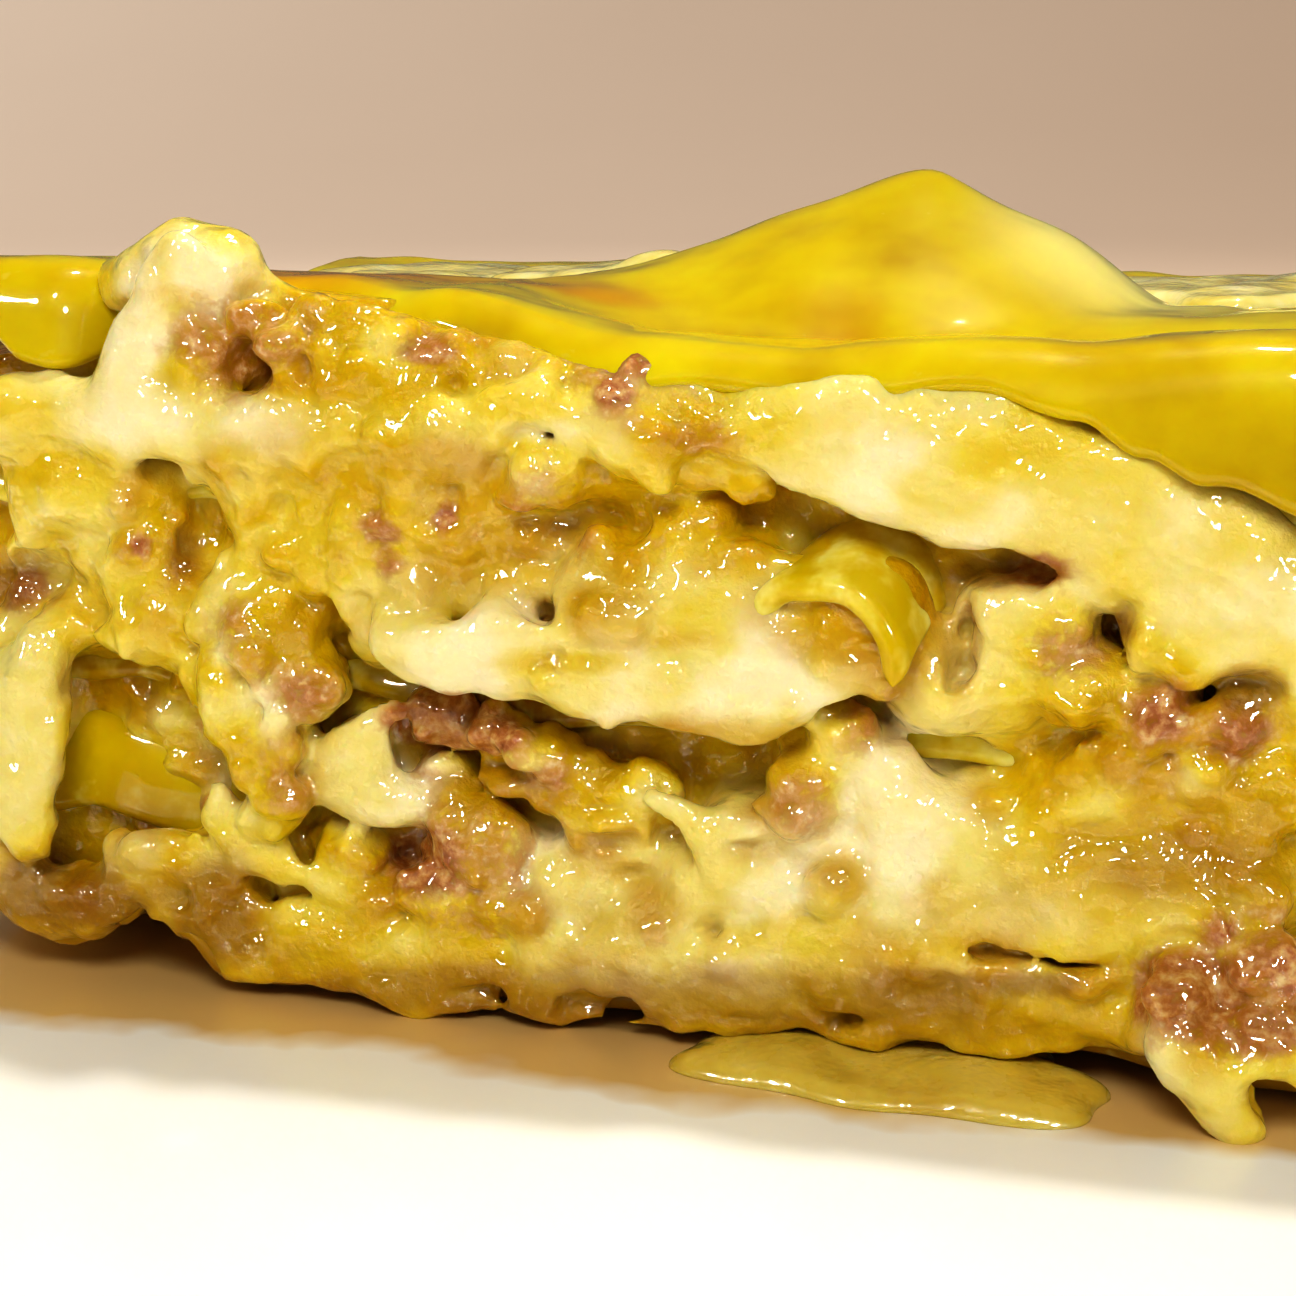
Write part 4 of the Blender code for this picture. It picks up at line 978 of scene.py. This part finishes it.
def make_filling(material):
    """The fused fillings: the core, meat with a granular skin, cream and coated lumps
    joined by smooth minima, with hollows cut out. Each kind colours the skin where its
    own distance is least."""
    axes = filling_axes()
    fields, holes = filling_fields(axes, np.random.default_rng(5))
    whole = Field(axes)
    whole.value = filling_core(axes)
    for kind, blend in (("coat", 3.0), ("cream", 2.4), ("yolk", 1.6), ("white", 2.2)):
        whole.value = smooth_min(whole.value, fields[kind].value, blend)
    film = np.maximum(0.3 + 0.45 * noise_grid(axes, 4.4, 41), 0)
    whole.value = smooth_min(whole.value, fields["meat"].value - film, 1.0)
    bit_count = 760
    smooth = np.minimum(fields["white"].value, fields["cream"].value)
    bits = stuck_bits(whole, smooth, np.random.default_rng(9), bit_count)
    grain = 0.14 * noise_grid(axes, 0.9, 47)
    kinds = ("meat", "yolk", "coat", "cream", "yolk", "coat", "cream")
    for number, kind in enumerate(kinds):
        whole.add(bits[number::len(kinds)], 0.8, grain)
        fields[kind].add(bits[number::len(kinds)], 0.3, grain)
    ragged = 0.75 * noise_grid(axes, 2.1, 43) + 0.3 * noise_grid(axes, 1.0, 44)
    whole.cut(holes, 1.0, ragged)
    whole.cut([NOTCH], 0.5, 0.3 * ragged)
    verts, faces = surface_net(whole.value, axes)
    colours = filling_colours(fields, whole, holes, axes, verts)
    piece = mesh_object("bechamel_and_mince", verts, faces, material, colours)
    thin_out(piece, TRIANGLE_LIMIT)
    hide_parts("filling_1", "filling_2", "filling_3", "filling_4", "sauce_drip",
                "melted_cheese_knob", "fallen_mince")


def stuck_bits(whole, smooth, draw, count):
    """Crumbs and grains that stick to the cut face: small ellipsoids, half sunk where a
    line along Y first meets the field. Few lie where the smooth kinds do."""
    x, y, z = whole.axes
    first = (whole.value < 0).argmax(axis=1)
    bits = []
    for _ in range(count):
        place = draw.uniform((-HALF_X, 4.5), (HALF_X, 43))
        radii = draw.uniform(0.4, 0.95) * draw.uniform(0.7, 1.4, 3)
        spared = draw.uniform() < 0.95
        column, row = np.searchsorted(x, place[0]), np.searchsorted(z, place[1])
        at = first[column, row]
        if at == 0 or y[at] > 2.5 - HALF_Y or (spared and smooth[column, at, row] < 0.5):
            continue
        bits.append((np.array([place[0], y[at] + 0.25 * radii[1], place[1]]), radii))
    return bits


def filling_colours(fields, whole, holes, axes, verts):
    """The mix of the filling: bare meat, paleness, yolk yellow and painted shade. Paleness
    is drawn to each kind's own value by its nearness, and hollows, found by how much of a
    step out along the normal is still open, and the skin round the holes get painted shade."""
    reach = {"coat": 1.2, "cream": 1.6, "yolk": 1.2, "white": 2.2, "meat": 0.9}
    near = {kind: np.clip(1.15 - sample(field.value, axes, verts) / reach[kind], 0, 1)
            for kind, field in fields.items()}
    patch = noise_at(verts, 5.0, 51)
    smear = noise_at(verts, 2.8, 53)
    pale = 0.36 + 0.14 * patch
    for kind, value, share in (("coat", 0.46, 1.0), ("cream", 0.74, 1.0), ("white", 0.94, 0.9)):
        value = value + 0.16 * patch + 0.2 * smear
        pale = pale + (value - pale) * near[kind] * share
    step = np.eye(3) * 0.4
    look_out = 1.6
    normal = np.stack([sample(whole.value, axes, verts + step[k])
                       - sample(whole.value, axes, verts - step[k]) for k in range(3)], 1)
    normal /= np.maximum(np.linalg.norm(normal, axis=1, keepdims=True), 1e-6)
    open_share = sample(whole.value, axes, verts + look_out * normal) / look_out
    hollow = np.clip((0.8 - open_share) / 0.9, 0, 1)
    cut = nearness(verts, holes, 1.02)
    # The last channel is painted shade, in hollows and round the holes.
    colours = np.stack([
        np.clip(near["meat"] * (0.34 + 0.75 * patch), 0, 1), np.clip(pale, 0, 1),
        np.clip(near["yolk"] + near["coat"] * (0.15 + 0.7 * patch + 0.6 * smear), 0, 1),
        np.clip(0.3 * hollow + 0.2 * cut, 0, 1)], 1)
    px, py = to_photo(verts)
    ragged = 0.3 * noise_at(verts, 1.7, 52)
    for x, y, wide, tall, channel, value in STAINS_AND_SHADE:
        away = np.hypot((px - x) / wide, (py - y) / tall) + ragged
        in_front = verts[:, 1] < -HALF_Y + 8
        draw_to(value, colours, channel, np.clip(1.5 - away, 0, 1) * in_front)
    return colours


def draw_to(value, colours, channel, share):
    """Draws a channel of the mix to a value by an eased share."""
    colours[:, channel] += (value - colours[:, channel]) * ease(share)


def thin_out(piece, limit):
    """Collapses edges until a piece has no more triangles than the limit, those first
    that change its shape least."""
    count = 2 * len(piece.data.polygons)
    if count <= limit:
        return
    thin = piece.modifiers.new("thin", "DECIMATE")
    thin.ratio = limit / count
    graph = bpy.context.evaluated_depsgraph_get()
    piece.data = bpy.data.meshes.new_from_object(piece.evaluated_get(graph))
    piece.modifiers.clear()
    print(piece.name, "thinned from", count, "to", len(piece.data.polygons))


def sample(field, axes, points):
    """A grid's values at points, by straight lines between the grid's."""
    at, share = [], []
    for k, axis in enumerate(axes):
        place = np.interp(points[:, k], axis, np.arange(len(axis)))
        low = np.clip(place.astype(int), 0, len(axis) - 2)
        at.append(low)
        share.append(place - low)
    total = 0
    for corner in np.ndindex(2, 2, 2):
        weight = 1
        for k in range(3):
            weight = weight * (share[k] if corner[k] else 1 - share[k])
        total = total + weight * field[at[0] + corner[0], at[1] + corner[1], at[2] + corner[2]]
    return total


def nearness(points, blobs, reach):
    """How far inside the nearest of some ellipsoids points lie: 1 inside, eased to 0 at
    1.35 times their size."""
    best = np.zeros(len(points))
    for centre, radii in blobs:
        close = np.abs(points - centre).max(1) < radii.max() * 1.5
        away = np.linalg.norm((points[close] - centre) / (radii * reach), axis=1)
        best[close] = np.maximum(best[close], ease(np.clip((1.35 - away) / 0.4, 0, 1)))
    return best


def make_sheets(material):
    """The five sheets, with sauce smears on their fronts and the stains and painted shade in
    their mix.
    """
    for number in SHEETS:
        columns, rows, lip_rows = (200, 90, 26) if number == 5 else (150, 44, 20)
        verts, faces = sheet_piece(number, columns, rows, lip_rows)
        smear = 0.5 + 0.5 * noise_at(verts + 11 * number, 6.0, 61)
        colours = np.zeros((len(verts), 4))
        colours[:, BROWN] = SHEET_BROWN[number]
        colours[:, SAUCE] = SHEET_SAUCE[number] * (0.3 + smear)
        if number == 5:
            spots = 0.5 + 0.5 * noise_at(verts, 9.0, 62)
            colours[:, BROWN] = np.clip((spots - 0.66) * 4, 0, 0.6) * (verts[:, 1] > -22)
        for sheet, centre, radii, channel, value in SHEET_STAINS_AND_SHADE:
            if sheet == number:
                away = np.linalg.norm((verts - centre) / radii, axis=1)
                draw_to(value, colours, channel, np.clip(1.5 - away, 0, 1))
        piece = mesh_object(f"pasta_{number}", verts, faces, material, colours)
        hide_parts(f"pasta_sheet_{number}")


def make_plate(material):
    """The plate: its section, a closed line from the middle of the well over the rim and
    foot ring to the middle of the underside, turned about Z in 256 steps. A fan of
    triangles closes each end of the section."""
    radius, well, height, wall = 120.0, 86.0, 20.0, 4.0
    edge = wall / 4
    run, rise = radius - edge - well, height - WELL_TOP
    t = np.linspace(0, 1, 24)
    upper = np.stack([well + run * t, WELL_TOP + rise * t**1.8], 1)
    lower = np.stack([well + run * t[::-1], WELL_TOP - wall + rise * t[::-1] ** 1.8], 1)
    turn = np.linspace(0, np.pi, 10)[1:-1]
    rim_high, rim_low = upper[-1], lower[0]
    centre = (rim_high + rim_low) / 2
    rim = np.stack([centre[0] + edge * np.sin(turn),
                    centre[1] + (rim_high[1] - centre[1]) * np.cos(turn)], 1)
    foot = np.array([(67, 3), (65.5, 1.6), (64.6, 0.5), (63.6, 0.06), (61, 0), (58.6, 0.06),
                     (57.6, 0.5), (56.6, 1.6), (55.5, 3)])
    middle = np.array([(r, WELL_TOP) for r in (4, 20, 40, 60, 76)])
    base = np.array([(40, 3), (20, 3), (4, 3)])
    profile = np.concatenate([middle, upper, rim, lower, foot, base])
    steps = 256
    angle = np.linspace(0, 2 * np.pi, steps, endpoint=False)
    verts = np.stack([
        np.outer(np.cos(angle), profile[:, 0]), np.outer(np.sin(angle), profile[:, 0]),
        np.broadcast_to(profile[:, 1] - WELL_TOP, (steps, len(profile)))], -1).reshape(-1, 3)
    index = np.arange(steps * len(profile)).reshape(steps, -1)
    index = np.concatenate([index, index[:1]])
    fans = []
    for column, tip in ((0, len(verts)), (-1, len(verts) + 1)):
        ring = index[:, column] if column else index[::-1, column]
        fans.append(np.stack([ring[1:], ring[:-1], np.full(steps, tip)], 1))
    verts = np.concatenate([verts, [(0, 0, 0), (0, 0, 3 - WELL_TOP)]])
    faces = [grid_quads(index)[:, ::-1], np.concatenate(fans)]
    piece = mesh_object("dinner_plate", verts, faces, material)
    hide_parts("plate")


def on_top_sheet(x, y):
    """The floor of a drop that lies on the top sheet: just inside the sheet's skin."""
    return sheet_height(5, x, y) + 0.6


def on_well(x, y):
    """The floor of a drop that lies on the plate, a hair over the glaze."""
    return np.full_like(x, 0.02)


def drop_piece(name, centre, radii, height, base, wander, material, slot, nodes):
    """A flat drop. A square grid (u, v) becomes a disc by x = u sqrt(1 - v^2/2) and
    y = v sqrt(1 - u^2/2), its outline wanders by sines, and its upper skin rises over
    the base as a rim of a quarter circle that carries on into a low dome."""
    line = np.sin(np.linspace(-np.pi / 2, np.pi / 2, 70))
    u, v = np.meshgrid(line, line, indexing="ij")
    x, y = u * np.sqrt(1 - v**2 / 2), v * np.sqrt(1 - u**2 / 2)
    share = np.clip(np.hypot(x, y), 0, 1)
    angle = np.arctan2(y, x)
    edge = 1 + wander * np.sin(3 * angle + centre[0]) + 0.5 * wander * np.sin(7 * angle + 1)
    x, y = centre[0] + radii[0] * edge * x, centre[1] + radii[1] * edge * y
    floor = base(x, y)
    ripple = 1 + 0.25 * noise_at(np.stack([x, y, 0 * x], -1), 3.5, 71)
    away = (1 - share) * min(radii)
    lift = height * ripple * (0.65 * rounded_edge(away, height) + 0.35 * (1 - share**2))
    top = np.stack([x, y, floor + lift], -1)
    under = np.stack([x, y, floor - 0.1 * np.sqrt(1 - share**2)], -1)
    verts, faces = two_skins(top, under, flip=False)
    piece = mesh_object(name, verts, faces, material)
    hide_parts(*nodes)


def make_curl(material):
    """A folded scrap of pasta over (turn, across): a strip that arches over a lump of
    sauce, its radius wandering with noise and its front edge flared. The thickness
    follows a quarter circle to nothing at all four edges."""
    width, half, flat_x, flat_z, lean = 8.0, 0.8, 1.06, 0.98, 0.35
    swing, start = np.radians(-14), np.radians(196)
    length = CURL_RADIUS * CURL_TURN
    t_mm = edge_steps(90, length, half)
    w_mm = edge_steps(30, width, half)
    t, w = np.meshgrid(t_mm / length, w_mm, indexing="ij")
    turn = start - CURL_TURN * t
    side = w / width - 0.5
    wobble = noise_at(np.stack([3.4 * t + 5, 0.8 * w / 3, 0 * t], -1), 1.0, 81)
    radius = CURL_RADIUS * (1 + 0.12 * wobble) * (1 - 0.16 * side - 0.04 * t)
    local = np.stack([flat_x * radius * np.cos(turn), side * width,
                      flat_z * radius * np.sin(turn)], -1)
    local[..., 2] += 0.5 * noise_at(local + 40, 3.0, 82)
    x, y, z = np.moveaxis(local, -1, 0)
    middle = np.stack([CURL_CENTRE[0] + x * np.cos(swing) - y * np.sin(swing),
                       CURL_CENTRE[1] + x * np.sin(swing) + y * np.cos(swing),
                       CURL_CENTRE[2] + z + lean * y], -1)
    normal = np.cross(np.gradient(middle, axis=0), np.gradient(middle, axis=1))
    normal /= np.maximum(np.linalg.norm(normal, axis=-1, keepdims=True), 1e-9)
    share = rounded_edge(length * np.minimum(t, 1 - t), half)
    share = share * rounded_edge(np.minimum(w, width - w), half)
    step = (half * share)[..., None] * normal
    verts, faces = two_skins(middle + step, middle - step, flip=True)
    colours = np.zeros((len(verts), 4))
    colours[:, SAUCE] = 0.4 + 0.4 * noise_at(verts, 2.0, 83)
    colours[:, BROWN] = 0.2
    piece = mesh_object("pasta_scrap", verts, faces, material, colours)
    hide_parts("pasta_curl")


def two_skins(upper, lower, flip):
    """Vertices and quads of a sheet's two skins, which share the vertices of the rim."""
    index = np.arange(upper[..., 0].size).reshape(upper.shape[:2])
    under = index + index.size
    rim = np.ones(index.shape, bool)
    rim[1:-1, 1:-1] = False
    under[rim] = index[rim]
    first, second = grid_quads(index), grid_quads(under)
    first, second = (first[:, ::-1], second) if flip else (first, second[:, ::-1])
    used, faces = np.unique(np.concatenate([first, second]), return_inverse=True)
    verts = np.concatenate([upper.reshape(-1, 3), lower.reshape(-1, 3)])[used]
    return verts, faces.reshape(-1, 4)


def add_light(name, place, size, power, colour, in_gloss=True, in_matt=True):
    """A round area light aimed at the slice, in metres and watts. A soft fill is left
    out of gloss, where its wide reflection would look like plastic, and the lamps that
    make the glints are seen in gloss alone."""
    data = bpy.data.lights.new(name, "AREA")
    data.shape = "DISK"
    data.size = size
    data.energy = power
    data.color = colour
    light = bpy.data.objects.new(name, data)
    light.location = place
    light.rotation_euler = (LIGHT_AIM - Vector(place)).to_track_quat("-Z", "Y").to_euler()
    light.visible_glossy = in_gloss
    light.visible_diffuse = in_matt
    bpy.context.scene.collection.objects.link(light)


def add_sweep():
    """Floor and backdrop in one sheet of paper: its section runs level, bends up round
    SWEEP_RADIUS and goes on upright, and is drawn straight along X. It is kept out of
    gloss, where it would lay a grey veil over the top sheet."""
    turn = np.linspace(0, np.pi / 2, 16)
    y = np.concatenate([[-3.0], SWEEP_START + SWEEP_RADIUS * np.sin(turn),
                        [SWEEP_START + SWEEP_RADIUS]])
    z = np.concatenate([[0.0], SWEEP_RADIUS * (1 - np.cos(turn)), [4.0]])
    x = np.array([-4.0, 4.0])
    verts = np.stack([np.repeat(x, len(y)), np.tile(y, 2), np.tile(z, 2)], -1)
    index = np.arange(len(verts)).reshape(2, -1)
    mesh = bpy.data.meshes.new("sweep")
    mesh.from_pydata(verts.tolist(), [], grid_quads(index)[:, ::-1].tolist())
    mesh.polygons.foreach_set("use_smooth", np.ones(len(mesh.polygons), bool))
    mesh.materials.append(stage_material())
    piece = bpy.data.objects.new("sweep", mesh)
    piece.visible_glossy = False
    bpy.context.scene.collection.objects.link(piece)


def set_stage():
    """Backdrop, lights, world and camera."""
    add_sweep()
    warm = (1.0, 0.98, 0.91)
    add_light("key", (0.015, 0.13, 0.62), 0.05, 1.6, warm)
    add_light("front_lamp", (0.02, -0.19, 0.19), 0.10, 0.25, warm, in_gloss=False)
    add_light("back_fill", (-0.10, 0.55, 0.40), 0.3, 1.1, warm, in_gloss=False)
    for side in (-1, 1):
        add_light(f"end_fill_{side}", (0.5 * side, 0.12, 0.13), 0.3, 0.5, warm, in_gloss=False)
    glints = (-0.20, -0.38, 0.33), (0.08, -0.34, 0.44), (0.28, -0.36, 0.26)
    for number, place in enumerate(glints):
        add_light(f"glint_{number}", place, 0.07, 1.4, warm, in_matt=False)
    world = bpy.data.worlds.new("studio")
    world.use_nodes = True
    world.node_tree.nodes["Background"].inputs["Color"].default_value = (1, 0.97, 0.86, 1)
    world.node_tree.nodes["Background"].inputs["Strength"].default_value = 0.10
    bpy.context.scene.world = world
    data = bpy.data.cameras.new("camera")
    data.sensor_width = 36
    data.lens = 36 * PHOTO_FOCAL / PHOTO_SIZE
    data.clip_start = 0.005
    camera = bpy.data.objects.new("camera", data)
    camera.location = CAMERA * 0.001
    forward = Vector(camera_axes()[0])
    camera.rotation_euler = forward.to_track_quat("-Z", "Y").to_euler()
    bpy.context.scene.collection.objects.link(camera)
    bpy.context.scene.camera = camera
    view = bpy.context.scene.view_settings
    view.view_transform, view.look = "Standard", "High Contrast"


def main():
    """Builds every piece, then the stage."""
    pasta = pasta_material()
    cheese = cheese_material()
    sauce = sauce_material()
    make_plate(porcelain_material())
    make_filling(filling_material())
    make_sheets(pasta)
    make_curl(pasta)
    for number, (centre, radii, height) in enumerate(CHEESE_PATCHES, 1):
        drop_piece(f"cheese_on_top_{number}", centre, radii, height, on_top_sheet, 0.14,
                   cheese, "cheese", [f"melted_cheese_patch_{number}"])
    drop_piece("sauce_on_plate", *POOL, on_well, 0.12, sauce, "sauce", ["sauce_pool"])
    set_stage()


main()
